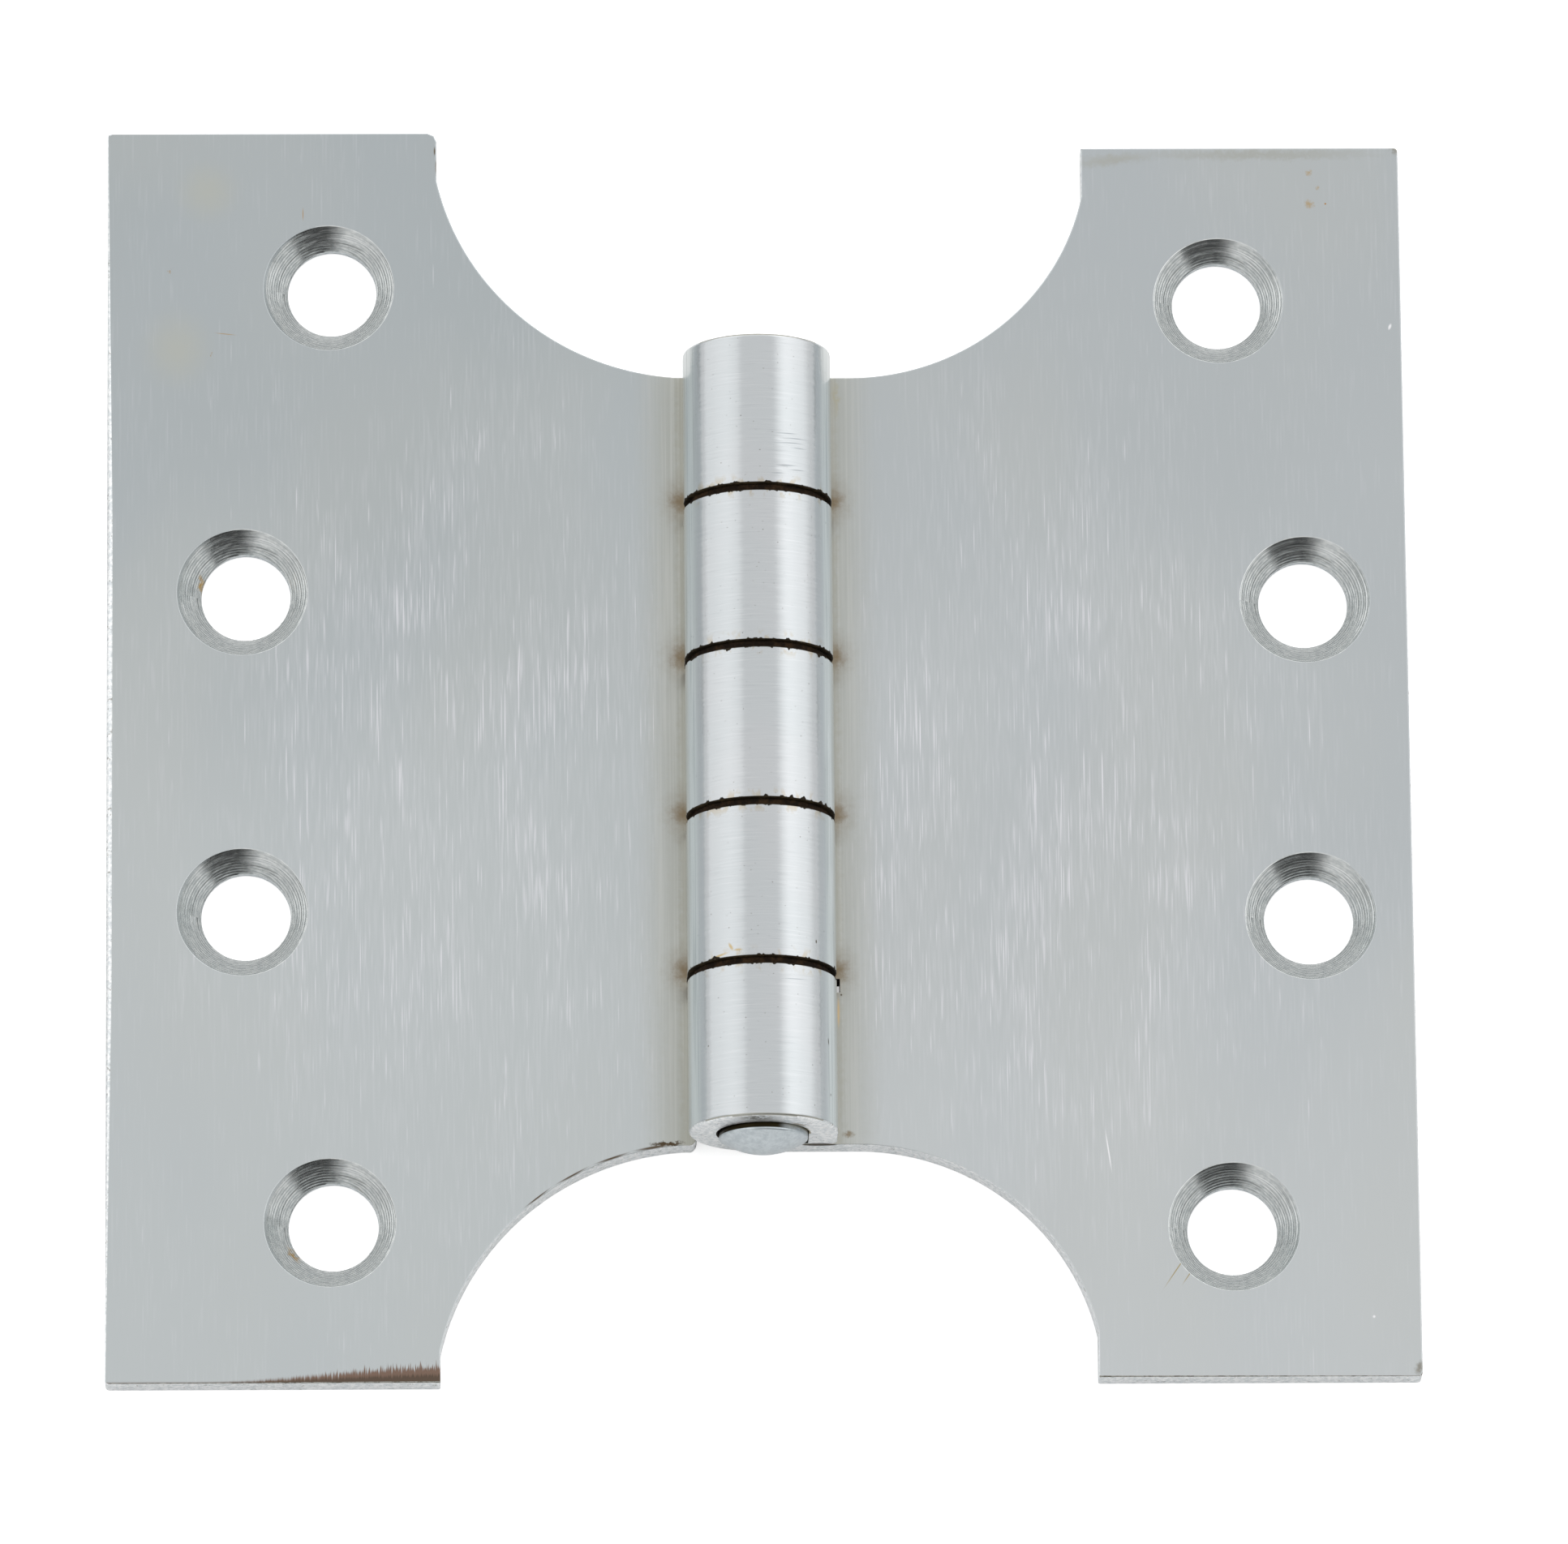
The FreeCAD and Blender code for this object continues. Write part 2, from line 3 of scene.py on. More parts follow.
import bmesh
import bpy
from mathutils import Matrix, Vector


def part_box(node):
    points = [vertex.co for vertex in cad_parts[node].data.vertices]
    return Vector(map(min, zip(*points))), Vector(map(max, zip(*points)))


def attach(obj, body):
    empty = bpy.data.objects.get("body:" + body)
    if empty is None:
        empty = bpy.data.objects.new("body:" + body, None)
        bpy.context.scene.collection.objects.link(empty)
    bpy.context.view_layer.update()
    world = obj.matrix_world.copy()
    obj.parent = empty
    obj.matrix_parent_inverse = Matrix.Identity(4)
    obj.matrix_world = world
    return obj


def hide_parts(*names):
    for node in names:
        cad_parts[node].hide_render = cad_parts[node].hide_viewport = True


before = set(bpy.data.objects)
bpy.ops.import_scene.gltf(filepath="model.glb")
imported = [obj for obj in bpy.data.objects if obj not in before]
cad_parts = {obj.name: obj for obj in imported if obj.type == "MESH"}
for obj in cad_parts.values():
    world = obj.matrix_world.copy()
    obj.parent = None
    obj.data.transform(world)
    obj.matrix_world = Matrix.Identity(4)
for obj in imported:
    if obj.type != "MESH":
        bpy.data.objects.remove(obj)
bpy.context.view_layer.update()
MM = 0.001

# Right leaf: a blank of 2.3 mm steel sheet with two deep round cut-outs, slotted at the
# pin edge into three tongues that are rolled into the first, third and fifth knuckle.
# The sheet was brushed along the pin and zinc plated, and its cut edges are sheared.
pin_low, pin_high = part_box("hinge_pin")
right_low, right_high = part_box("right_leaf")
left_low, left_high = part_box("left_leaf")
AXIS_HEIGHT = (pin_low.z + pin_high.z) / 2
BARREL_RADIUS = AXIS_HEIGHT
SHEET = 2.3 * MM
BORE_RADIUS = BARREL_RADIUS - SHEET
SEAM_GAP = 0.08 * MM
KNUCKLE_LENGTH = 12.24 * MM
KNUCKLE_GAP = 0.5 * MM
PITCH = KNUCKLE_LENGTH + KNUCKLE_GAP
BARREL_MIDDLE = -0.3 * MM
BARREL_TOP = BARREL_MIDDLE + 2 * PITCH + KNUCKLE_LENGTH / 2
BARREL_BOTTOM = BARREL_MIDDLE - 2 * PITCH - KNUCKLE_LENGTH / 2
SLOT_EDGE = math.sqrt((BARREL_RADIUS + 0.35 * MM) ** 2 - BORE_RADIUS ** 2)
UPPER_NECK = BARREL_TOP - 0.8 * MM
CURL_CORNER = 0.8 * MM
RIM_ROUNDING = 0.3 * MM
MOUTH_WEAR = 0.18 * MM
SOFT_EDGE = 0.12 * MM
FOOT_WEAR = 0.12 * MM
EDGE_WEAR = 0.45 * MM
CORNER_WEAR = 0.3 * MM
SLIVER = 0.03 * MM
ROLL_STEPS = 72
SCALLOP_SIDES = 180
SCALLOP_SWEEP = math.radians(78)
HOLE_RADIUS = 3.5 * MM
SINK_RADIUS = 5.175 * MM
HOLE_SIDES = 96
END_ROWS = 76.0 * MM
MIDDLE_ROWS = 26.0 * MM
OVERRUN = 1.0 * MM
TOUCH = 0.02 * MM
# A face looks along an axis from this share of its normal on.
FACING = 0.9


def knuckle(number):
    """Lowest and highest place of a knuckle along the pin, counted from the top."""
    middle = BARREL_MIDDLE + (3 - number) * PITCH
    return middle - KNUCKLE_LENGTH / 2, middle + KNUCKLE_LENGTH / 2


def slot(number):
    """Room in the other leaf's sheet for a knuckle and its two gaps."""
    low, high = knuckle(number)
    return low - KNUCKLE_GAP, high + KNUCKLE_GAP


def select_only(piece):
    """Makes a piece the only selected and the active object."""
    bpy.ops.object.select_all(action="DESELECT")
    piece.select_set(True)
    bpy.context.view_layer.objects.active = piece


def start_piece(name, add_primitive, stretch=(1, 1, 1), **sizes):
    """Adds a primitive as the only selected object, its place in its mesh, and opens it for editing."""
    bpy.ops.object.select_all(action="DESELECT")
    add_primitive(**sizes)
    piece = bpy.context.object
    piece.scale = stretch
    piece.name = name
    piece.data.name = name
    bpy.ops.object.transform_apply(location=True, rotation=True, scale=True)
    bpy.ops.object.mode_set(mode="EDIT")
    bpy.ops.mesh.select_mode(type="VERT")
    bpy.ops.mesh.select_all(action="SELECT")
    return piece


def pick(kind, test):
    """Selects only those vertices, edges or faces of the open piece that pass a test."""
    bpy.ops.mesh.select_mode(type=kind)
    bpy.ops.mesh.select_all(action="DESELECT")
    mesh = bmesh.from_edit_mesh(bpy.context.object.data)
    parts = {"VERT": mesh.verts, "EDGE": mesh.edges, "FACE": mesh.faces}[kind]
    for part in parts:
        if test(part):
            part.select_set(True)
    mesh.select_flush_mode()
    bmesh.update_edit_mesh(bpy.context.object.data)


def place(part):
    """Middle of an edge or a face."""
    if isinstance(part, bmesh.types.BMFace):
        return part.calc_center_median()
    return (part.verts[0].co + part.verts[1].co) / 2


def near(first, second):
    """True if two places agree."""
    return abs(first - second) < TOUCH


def cut_across(x=None, y=None, clear_below=False, clear_above=False):
    """Bisects the open piece at a level of X or Y, and may clear one side and close the cut."""
    normal = (1, 0, 0) if y is None else (0, 1, 0)
    point = (x or 0, y or 0, 0)
    bpy.ops.mesh.select_all(action="SELECT")
    bpy.ops.mesh.bisect(
        plane_co=point,
        plane_no=normal,
        clear_inner=clear_below,
        clear_outer=clear_above,
        use_fill=clear_below or clear_above,
        threshold=TOUCH / 100,
    )


def apply_modifier(piece, kind, **settings):
    """Adds a modifier with its settings and applies it."""
    modifier = piece.modifiers.new(kind.title(), kind)
    for name, value in settings.items():
        setattr(modifier, name, value)
    bpy.context.view_layer.objects.active = piece
    bpy.ops.object.modifier_apply(modifier=modifier.name)


def cut_away(piece, cutter):
    """Cuts the shape of another mesh out of a piece and removes that mesh."""
    bpy.ops.object.mode_set(mode="OBJECT")
    apply_modifier(piece, "BOOLEAN", object=cutter, operation="DIFFERENCE", solver="EXACT")
    bpy.data.objects.remove(cutter)


def roll_leaf(name, side, reach, low_y, high_y, slots):
    """Slotted blank with its tongues rolled three quarters round the pin axis and down to the sheet."""
    leaf = start_piece(
        name,
        bpy.ops.mesh.primitive_plane_add,
        size=1,
        location=(side * reach / 2, (low_y + high_y) / 2, 0),
        stretch=(reach, high_y - low_y, 1),
    )
    cut_across(x=side * SLOT_EDGE)
    for low, high in slots:
        cut_across(y=low)
        cut_across(y=high)
    pick("FACE", lambda f: abs(place(f).x) < SLOT_EDGE and any(a < place(f).y < b for a, b in slots))
    bpy.ops.mesh.delete(type="FACE")
    pick("EDGE", lambda e: all(abs(v.co.x) < TOUCH for v in e.verts))
    bpy.ops.mesh.spin(
        steps=ROLL_STEPS,
        angle=-side * math.radians(270),
        center=(0, 0, AXIS_HEIGHT),
        axis=(0, 1, 0),
    )
    leg = AXIS_HEIGHT - SHEET - SEAM_GAP
    bpy.ops.mesh.extrude_edges_move(TRANSFORM_OT_translate={"value": (0, 0, -leg)})
    bpy.ops.mesh.select_all(action="SELECT")
    bpy.ops.mesh.remove_doubles(threshold=TOUCH / 10)
    bpy.ops.mesh.normals_make_consistent(inside=True)
    bpy.ops.object.mode_set(mode="OBJECT")
    apply_modifier(
        leaf, "SOLIDIFY", thickness=SHEET, offset=1.0, use_even_offset=True, use_quality_normals=True,
    )
    return leaf


def drop_slivers(piece):
    """Merges away the very short edges that a cut has left."""
    select_only(piece)
    bpy.ops.object.mode_set(mode="EDIT")
    bpy.ops.mesh.select_all(action="SELECT")
    bpy.ops.mesh.dissolve_degenerate(threshold=SLIVER)
    bpy.ops.object.mode_set(mode="OBJECT")


def on_foot(edge, low_y):
    """Edge of the face along the foot of a leaf."""
    return all(near(v.co.y, low_y) and near(v.co.z, SHEET) for v in edge.verts)


def round_edges(piece, test, radius, segments=3):
    """Rounds the edges of a piece that pass a test."""
    select_only(piece)
    bpy.ops.object.mode_set(mode="EDIT")
    pick("EDGE", test)
    bpy.ops.mesh.bevel(offset=radius, segments=segments, affect="EDGES", clamp_overlap=False)
    bpy.ops.object.mode_set(mode="OBJECT")


def cut_scallop(leaf, side, up, centre_x, radius, neck, foot_x):
    """Cuts one deep round cut-out; up is 1 for the upper one and foot_x where its neck edge starts."""
    centre_y = neck + up * radius
    wing_x = centre_x + side * radius * math.sin(SCALLOP_SWEEP)
    high = SHEET + SEAM_GAP / 2
    cutter = start_piece(
        "scallop_cutter",
        bpy.ops.mesh.primitive_cylinder_add,
        vertices=SCALLOP_SIDES,
        radius=radius,
        depth=high + OVERRUN,
        location=(centre_x, centre_y, (high - OVERRUN) / 2),
    )
    cut_across(x=centre_x, clear_below=side > 0, clear_above=side < 0)
    cut_across(x=wing_x, clear_below=side < 0, clear_above=side > 0)
    pick("FACE", lambda f: near(place(f).x, centre_x) and abs(f.normal.x) > FACING)
    bpy.ops.mesh.extrude_region_move(TRANSFORM_OT_translate={"value": (foot_x - centre_x, 0, 0)})
    cut_across(y=centre_y, clear_below=up < 0, clear_above=up > 0)
    pick("FACE", lambda f: near(place(f).y, centre_y) and abs(f.normal.y) > FACING)
    bpy.ops.mesh.extrude_region_move(TRANSFORM_OT_translate={"value": (0, up * 3 * OVERRUN, 0)})
    cut_away(leaf, cutter)


def drill_and_countersink(leaf, hole_x, hole_y, sink_shift):
    """A clearance hole, and a countersink that the turning cutter left with fine rings."""
    ring_pitch = 0.24 * MM
    ring_depth = 0.008 * MM
    sink_top = SHEET + OVERRUN / 2
    sink_bottom = OVERRUN / 10
    cutter = start_piece(
        "sink_cutter",
        bpy.ops.mesh.primitive_plane_add,
        size=1 * MM,
        location=(hole_x + sink_shift, hole_y, sink_bottom),
    )
    bpy.ops.mesh.merge(type="CENTER")
    bottom_radius = SINK_RADIUS - (SHEET - sink_bottom)
    bpy.ops.mesh.extrude_vertices_move(TRANSFORM_OT_translate={"value": (bottom_radius, 0, 0)})
    rings = round(math.sqrt(2) * (sink_top - sink_bottom) / ring_pitch)
    step = (sink_top - sink_bottom) / (2 * rings)
    for half in range(2 * rings):
        shift = ring_depth * math.sqrt(2) * (1 if half % 2 == 0 else -1)
        bpy.ops.mesh.extrude_vertices_move(TRANSFORM_OT_translate={"value": (step + shift, 0, step)})
    top_radius = SINK_RADIUS + sink_top - SHEET
    bpy.ops.mesh.extrude_vertices_move(TRANSFORM_OT_translate={"value": (-top_radius, 0, 0)})
    bpy.ops.mesh.select_all(action="SELECT")
    bpy.ops.mesh.spin(
        steps=HOLE_SIDES,
        angle=2 * math.pi,
        center=(hole_x + sink_shift, hole_y, 0),
        axis=(0, 0, 1),
    )
    bpy.ops.mesh.select_all(action="SELECT")
    bpy.ops.mesh.remove_doubles(threshold=TOUCH / 10)
    bpy.ops.mesh.normals_make_consistent(inside=False)
    cut_away(leaf, cutter)
    drill = start_piece(
        "hole_cutter",
        bpy.ops.mesh.primitive_cylinder_add,
        vertices=HOLE_SIDES,
        radius=HOLE_RADIUS,
        depth=4 * SHEET,
        location=(hole_x, hole_y, 0),
    )
    cut_away(leaf, drill)


def from_axis(place_of):
    """Distance from the pin axis."""
    return math.hypot(place_of.x, place_of.z - AXIS_HEIGHT)


def sharp(edge):
    """True for an edge between two faces that meet at a clear angle."""
    return len(edge.link_faces) == 2 and edge.calc_face_angle() > math.radians(60)


def upright_at(edge, x, levels):
    """Upright edge at a corner of the blank."""
    return all(near(v.co.x, x) and any(near(v.co.y, level) for level in levels) for v in edge.verts)


def on_curl_end(edge, side):
    """Outer edge at the free end of a curl, just above the sheet."""
    return all(near(v.co.x, side * BARREL_RADIUS) and near(v.co.z, SHEET + SEAM_GAP) for v in edge.verts)


def on_circle(edge, y, radius):
    """Edge of a circle about the pin axis at a level along the pin."""
    return all(near(v.co.y, y) and near(from_axis(v.co), radius) for v in edge.verts)


def cut_block(leaf, low, high):
    """Cuts a small square block out of a leaf."""
    middle = [(a + b) / 2 for a, b in zip(low, high)]
    block = start_piece(
        "block_cutter",
        bpy.ops.mesh.primitive_cube_add,
        size=1,
        location=middle,
        stretch=[b - a for a, b in zip(low, high)],
    )
    cut_away(leaf, block)


def linear(colour):
    """Linear colour of an sRGB hex value."""
    channels = [int(colour[i:i + 2], 16) / 255 for i in (1, 3, 5)]
    return [c / 12.92 if c <= 0.04045 else ((c + 0.055) / 1.055) ** 2.4 for c in channels] + [1]


def add_node(tree, kind, inputs=None, **settings):
    """Adds a node with its settings and inputs.

    An input is a value, a hex colour, a link, or a node whose first output is linked.
    """
    node = tree.nodes.new(kind)
    for name, value in settings.items():
        setattr(node, name, value)
    for socket, value in (inputs or {}).items():
        if isinstance(value, bpy.types.Node):
            value = value.outputs[0]
        if isinstance(value, bpy.types.NodeSocket):
            tree.links.new(value, node.inputs[socket])
        else:
            node.inputs[socket].default_value = linear(value) if isinstance(value, str) else value
    return node


def new_material(name):
    """Empty material and its node tree."""
    material = bpy.data.materials.new(name)
    material.use_nodes = True
    material.node_tree.nodes.clear()
    return material, material.node_tree


def lay(tree, colour, tint, value, low, high, share=1.0):
    """Lays a tint over a colour, with soft ends, where a value goes from one level to another."""
    mask = add_node(tree, "ShaderNodeMapRange", {
        "Value": value, "From Min": low, "From Max": high, "To Max": share,
    }, interpolation_type="SMOOTHSTEP")
    return add_node(tree, "ShaderNodeMix", {0: mask, 6: colour, 7: tint}, data_type="RGBA").outputs[2]


def place_in_mm(tree, scale=(1 / MM, 1 / MM, 1 / MM)):
    """Place on the piece in millimetres, where the scale keeps it."""
    place_on_piece = add_node(tree, "ShaderNodeTexCoord").outputs["Object"]
    return add_node(tree, "ShaderNodeVectorMath", {0: place_on_piece, 1: scale}, operation="MULTIPLY")


def grain(tree, place_mm, across, along, detail=2.0):
    """Noise; across and along say how many of its waves there are in a millimetre of X and of Y."""
    stretched = add_node(tree, "ShaderNodeMapping", {"Vector": place_mm, "Scale": (across, along, 1.0)})
    return add_node(tree, "ShaderNodeTexNoise", {"Vector": stretched, "Scale": 1.0, "Detail": detail})


def speckles(tree, per_mm, detail=3.0):
    """Rough noise with so many of its waves in a millimetre, the same in every direction."""
    place_on_piece = add_node(tree, "ShaderNodeTexCoord").outputs["Object"]
    return add_node(tree, "ShaderNodeTexNoise", {
        "Vector": place_on_piece, "Scale": per_mm / MM, "Detail": detail, "Roughness": 0.7,
    })


def marks(tree, place_mm, places):
    """How far out of the nearest oval mark a place lies: 0 in its middle, 1 at its rim.

    Each mark is its x, y, half width and half height in millimetres, and its turn in degrees.
    """
    nearest = None
    for x, y, half_x, half_y, turn in places:
        local = add_node(tree, "ShaderNodeMapping", {
            "Vector": place_mm, "Location": (x, y, 0), "Rotation": (0, 0, math.radians(turn)),
            "Scale": (half_x, half_y, 1.0),
        }, vector_type="TEXTURE")
        out = add_node(tree, "ShaderNodeVectorMath", {0: local}, operation="LENGTH").outputs["Value"]
        if nearest is not None:
            out = add_node(tree, "ShaderNodeMath", {0: nearest, 1: out}, operation="MINIMUM")
        nearest = out
    return nearest


def sheet_places(tree):
    """Place on the sheet in millimetres, true and with ragged edges for stains."""
    flat = place_in_mm(tree, (1 / MM, 1 / MM, 0))
    noise = add_node(tree, "ShaderNodeTexNoise", {
        "Vector": flat, "Scale": 1.7, "Detail": 3.0, "Roughness": 0.7,
    })
    centred = add_node(tree, "ShaderNodeVectorMath", {
        0: noise.outputs["Color"], 1: (0.5, 0.5, 0.5),
    }, operation="SUBTRACT")
    ragged = add_node(tree, "ShaderNodeVectorMath", {
        0: centred, 1: (1.2, 1.2, 0), 2: flat,
    }, operation="MULTIPLY_ADD")
    return flat, ragged


def surface(tree, colour, roughness, height=None, depth=0.0, normal=None, bare=1.0, gloss=0.5):
    """Shader of a finish, with its share of bare metal and a relief of a depth in metres."""
    inputs = {
        "Base Color": colour, "Metallic": bare, "Roughness": roughness, "Specular IOR Level": gloss,
    }
    if height is not None:
        relief = {"Height": height, "Distance": depth, "Strength": 1.0}
        if normal is not None:
            relief["Normal"] = normal
        inputs["Normal"] = add_node(tree, "ShaderNodeBump", relief)
    shader = add_node(tree, "ShaderNodeBsdfPrincipled", inputs)
    add_node(tree, "ShaderNodeOutputMaterial", {"Surface": shader})


def brush_lines(tree, across, along, width, waves):
    """Noise in columns along Y, each a width wide and with its own ends, as a brush leaves its lines."""
    column = add_node(tree, "ShaderNodeMath", {0: across, 1: width}, operation="SNAP")
    scatter = add_node(tree, "ShaderNodeTexWhiteNoise", {"W": column}, noise_dimensions="1D")
    apart = add_node(tree, "ShaderNodeMath", {0: scatter, 1: COLUMNS_APART}, operation="MULTIPLY")
    stretched = add_node(tree, "ShaderNodeMath", {0: along, 1: waves}, operation="MULTIPLY")
    spread = add_node(tree, "ShaderNodeCombineXYZ", {0: apart, 1: stretched})
    return add_node(tree, "ShaderNodeTexNoise", {"Vector": spread, "Scale": 1.0, "Detail": 1.0})


# The faces of both leaves: zinc plating over brushed steel, satin and slightly green. The
# brush ran along the pin and left pale lines 0.1 mm wide, in groups. Beside the knuckles
# the plating has gone warm and dull, with brown smudges where the gaps end.
BRUSH_LINE = "#e2e1e6"
COOL_PATCH = "#a8b0b8"
PALE_PATCH = "#b9bab5"
WARM_TARNISH = "#a9aaa3"
DRAWN_LINE = "#c9cac6"
CREASE_SHADE = "#98927f"
GAP_SMUDGE = "#7a6950"
FOOT_RUST = "#7a6559"
FOOT_RUST_CORE = "#554a40"
COLUMNS_APART = 900.0
# Each set of lines: width, waves in a millimetre of length, levels of the noise, and share.
LINE_SETS = ((0.12, 0.25, 0.4, 0.8, 0.12), (0.09, 0.22, 0.62, 0.84, 0.5), (0.09, 0.13, 0.66, 0.86, 0.6))
# Each layer of a smudge: half width, half height and share. They lie above the gaps' ends.
SMUDGE_LAYERS = ((2.2, 3.0, 0.4), (1.25, 1.3, 0.8))
SMUDGE_LIFT = 1.5


def brushed_sheet(name, side, shades, fade_end, tarnish, stains, scratches, foot_stain=0.0):
    """Brushed and plated sheet; stains and scratches are a colour, its places and their softness."""
    material, tree = new_material(name)
    flat, ragged = sheet_places(tree)
    across, along, _ = add_node(tree, "ShaderNodeSeparateXYZ", {0: flat}).outputs
    ragged_across = add_node(tree, "ShaderNodeSeparateXYZ", {0: ragged})
    beside = add_node(tree, "ShaderNodeMath", {0: ragged_across}, operation="ABSOLUTE")
    # The sheet is painted lighter towards its foot, with cloudy edges: painted light, the studio panel's
    # gradient across the leaf.
    clouds = grain(tree, flat, 0.03, 0.03, 1.0)
    downwards = add_node(tree, "ShaderNodeMath", {
        0: clouds, 1: 60.0, 2: along,
    }, operation="MULTIPLY_ADD")
    colour = lay(tree, *shades, downwards, 75.0, fade_end)
    colour = lay(tree, colour, COOL_PATCH, grain(tree, flat, 0.07, 0.035, 1.0), 0.45, 0.65, 0.08)
    colour = lay(tree, colour, PALE_PATCH, grain(tree, flat, 0.05, 0.03, 1.0), 0.45, 0.65, 0.15)
    brushed = add_node(tree, "ShaderNodeMapRange", {
        "Value": marks(tree, flat, [(side * 24.0, -4.0, 30.0, 46.0, 0)]),
        "From Min": 1.0, "From Max": 0.3, "To Max": 0.16,
    }, interpolation_type="SMOOTHSTEP")
    groups = add_node(tree, "ShaderNodeMapRange", {
        "Value": grain(tree, flat, 0.13, 0.06, 1.0),
        "From Min": 0.35, "From Max": 0.65, "To Min": -0.16, "To Max": -0.07,
    }, interpolation_type="SMOOTHSTEP")
    crowding = add_node(tree, "ShaderNodeMath", {0: brushed, 1: groups}, operation="ADD")
    for width, waves, low, high, share in LINE_SETS:
        lines = add_node(tree, "ShaderNodeMath", {
            0: brush_lines(tree, across, along, width, waves), 1: crowding,
        }, operation="ADD")
        colour = lay(tree, colour, BRUSH_LINE, lines, low, high, share)
    warm = add_node(tree, "ShaderNodeMapRange", {
        "Value": beside, "From Min": 10.0, "From Max": 6.2, "To Max": tarnish,
    }, interpolation_type="SMOOTHSTEP")
    colour = add_node(tree, "ShaderNodeMix", {
        0: warm, 6: colour, 7: WARM_TARNISH,
    }, data_type="RGBA").outputs[2]
    drawn = add_node(tree, "ShaderNodeMath", {0: warm, 1: 0.45}, operation="MULTIPLY")
    colour = lay(tree, colour, DRAWN_LINE, grain(tree, flat, 5.0, 0.05), 0.4, 0.7, drawn)
    # Close along the barrel the sheet is painted darker and browner: painted shade in the crease between
    # sheet and barrel.
    colour = lay(tree, colour, CREASE_SHADE, beside, 6.6, 5.9, 0.3)
    beside_gaps = [(knuckle(n)[0] - KNUCKLE_GAP / 2) / MM + SMUDGE_LIFT for n in range(1, 5)]
    for half_x, half_y, share in SMUDGE_LAYERS:
        smudges = marks(tree, ragged, [(side * 5.9, y, half_x, half_y, 0) for y in beside_gaps])
        colour = lay(tree, colour, GAP_SMUDGE, smudges, 1.0, 0.0, share)
    for place_mm, spots in ((ragged, stains), (flat, scratches)):
        for tint, places, fade in spots:
            colour = lay(tree, colour, tint, marks(tree, place_mm, places), 1.0, fade)
    bristles = add_node(tree, "ShaderNodeMath", {
        0: grain(tree, flat, 8.0, 0.4, 3.0), 1: foot_stain,
    }, operation="MULTIPLY")
    reach = add_node(tree, "ShaderNodeMapRange", {
        "Value": across, "From Min": -44.0, "From Max": -24.0, "To Max": bristles,
    }, interpolation_type="SMOOTHSTEP")
    above_foot = add_node(tree, "ShaderNodeMath", {0: along, 1: left_low.y / MM}, operation="SUBTRACT")
    past_rust = add_node(tree, "ShaderNodeMath", {0: above_foot, 1: reach}, operation="SUBTRACT")
    colour = lay(tree, colour, FOOT_RUST, past_rust, 0.2, -0.2)
    past_core = add_node(tree, "ShaderNodeMath", {
        0: reach, 1: -0.45, 2: above_foot,
    }, operation="MULTIPLY_ADD")
    colour = lay(tree, colour, FOOT_RUST_CORE, past_core, 0.2, -0.1, 0.8)
    dull = add_node(tree, "ShaderNodeMapRange", {
        "Value": warm, "From Max": 1.0, "To Min": 0.3, "To Max": 0.38,
    }, interpolation_type="SMOOTHSTEP")
    surface(tree, colour, dull, grain(tree, flat, 12.0, 0.35), 0.001 * MM)
    return material


# The outside of the knuckles: the same plating, burnished round the barrel when it was
# rolled, so it is brighter and shows the lights as long bands with jagged edges. Its marks
# are given by their way round the barrel from its top, and along the pin.
KNUCKLE_ZINC = "#bcc0c2"
KNUCKLE_SHEEN = "#c2c3c5"
BRIGHT_STREAK = "#dcdcde"
DARK_STREAK = "#8f9497"
GREASE_STAIN = "#ab9870"
FLANK_PAINTED_HIGHLIGHT = "#dadedd"
FLANK_LINE = "#949b9b"
GAP_DIRT = "#241d12"
PIT = "#6f6a62"
KNUCKLE_MARKS = (
    ("#989da0", [
        (2.3, 23.2, 1.2, 0.07, 3), (3.0, 22.85, 1.5, 0.08, 3), (2.6, 22.45, 1.7, 0.07, 4),
        (3.3, 22.1, 1.0, 0.07, 2), (2.3, 20.6, 1.2, 0.08, 2), (3.2, 20.3, 1.0, 0.07, 5),
        (1.5, 19.9, 0.7, 0.06, 3), (2.6, -20.9, 1.5, 0.05, 3),
    ], 0.1),
    ("#b3a27f", [
        (-2.6, -18.3, 0.18, 0.5, 30), (-3.7, -18.9, 1.2, 0.14, 10), (-2.0, -18.6, 0.5, 0.12, 0),
    ], 0.2),
    ("#5d564a", [
        (6.11, -25.3, 0.09, 0.35, 8), (6.4, -29.5, 0.07, 0.15, 0), (-4.83, -25.9, 0.08, 0.08, 0),
        (4.6, -17.6, 0.1, 0.2, 0),
    ], 0.4),
)
knuckle_face, tree = new_material("burnished_zinc_plated_knuckle")
in_mm = place_in_mm(tree)
across, along, upwards = add_node(tree, "ShaderNodeSeparateXYZ", {0: in_mm}).outputs
above_axis = add_node(tree, "ShaderNodeMath", {0: upwards, 1: AXIS_HEIGHT / MM}, operation="SUBTRACT")
angle_from_top = add_node(tree, "ShaderNodeMath", {0: across, 1: above_axis}, operation="ARCTAN2")
around = add_node(tree, "ShaderNodeMath", {
    0: angle_from_top, 1: BARREL_RADIUS / MM,
}, operation="MULTIPLY")
unrolled = add_node(tree, "ShaderNodeCombineXYZ", {0: around, 1: along})
above_first_gap = add_node(tree, "ShaderNodeMath", {
    0: along, 1: (knuckle(1)[0] - KNUCKLE_GAP / 2) / MM,
}, operation="SUBTRACT")
from_gap = add_node(tree, "ShaderNodeMath", {
    0: above_first_gap, 1: PITCH / 2 / MM,
}, operation="PINGPONG")
above_middle = add_node(tree, "ShaderNodeMath", {0: along, 1: BARREL_MIDDLE / MM}, operation="SUBTRACT")
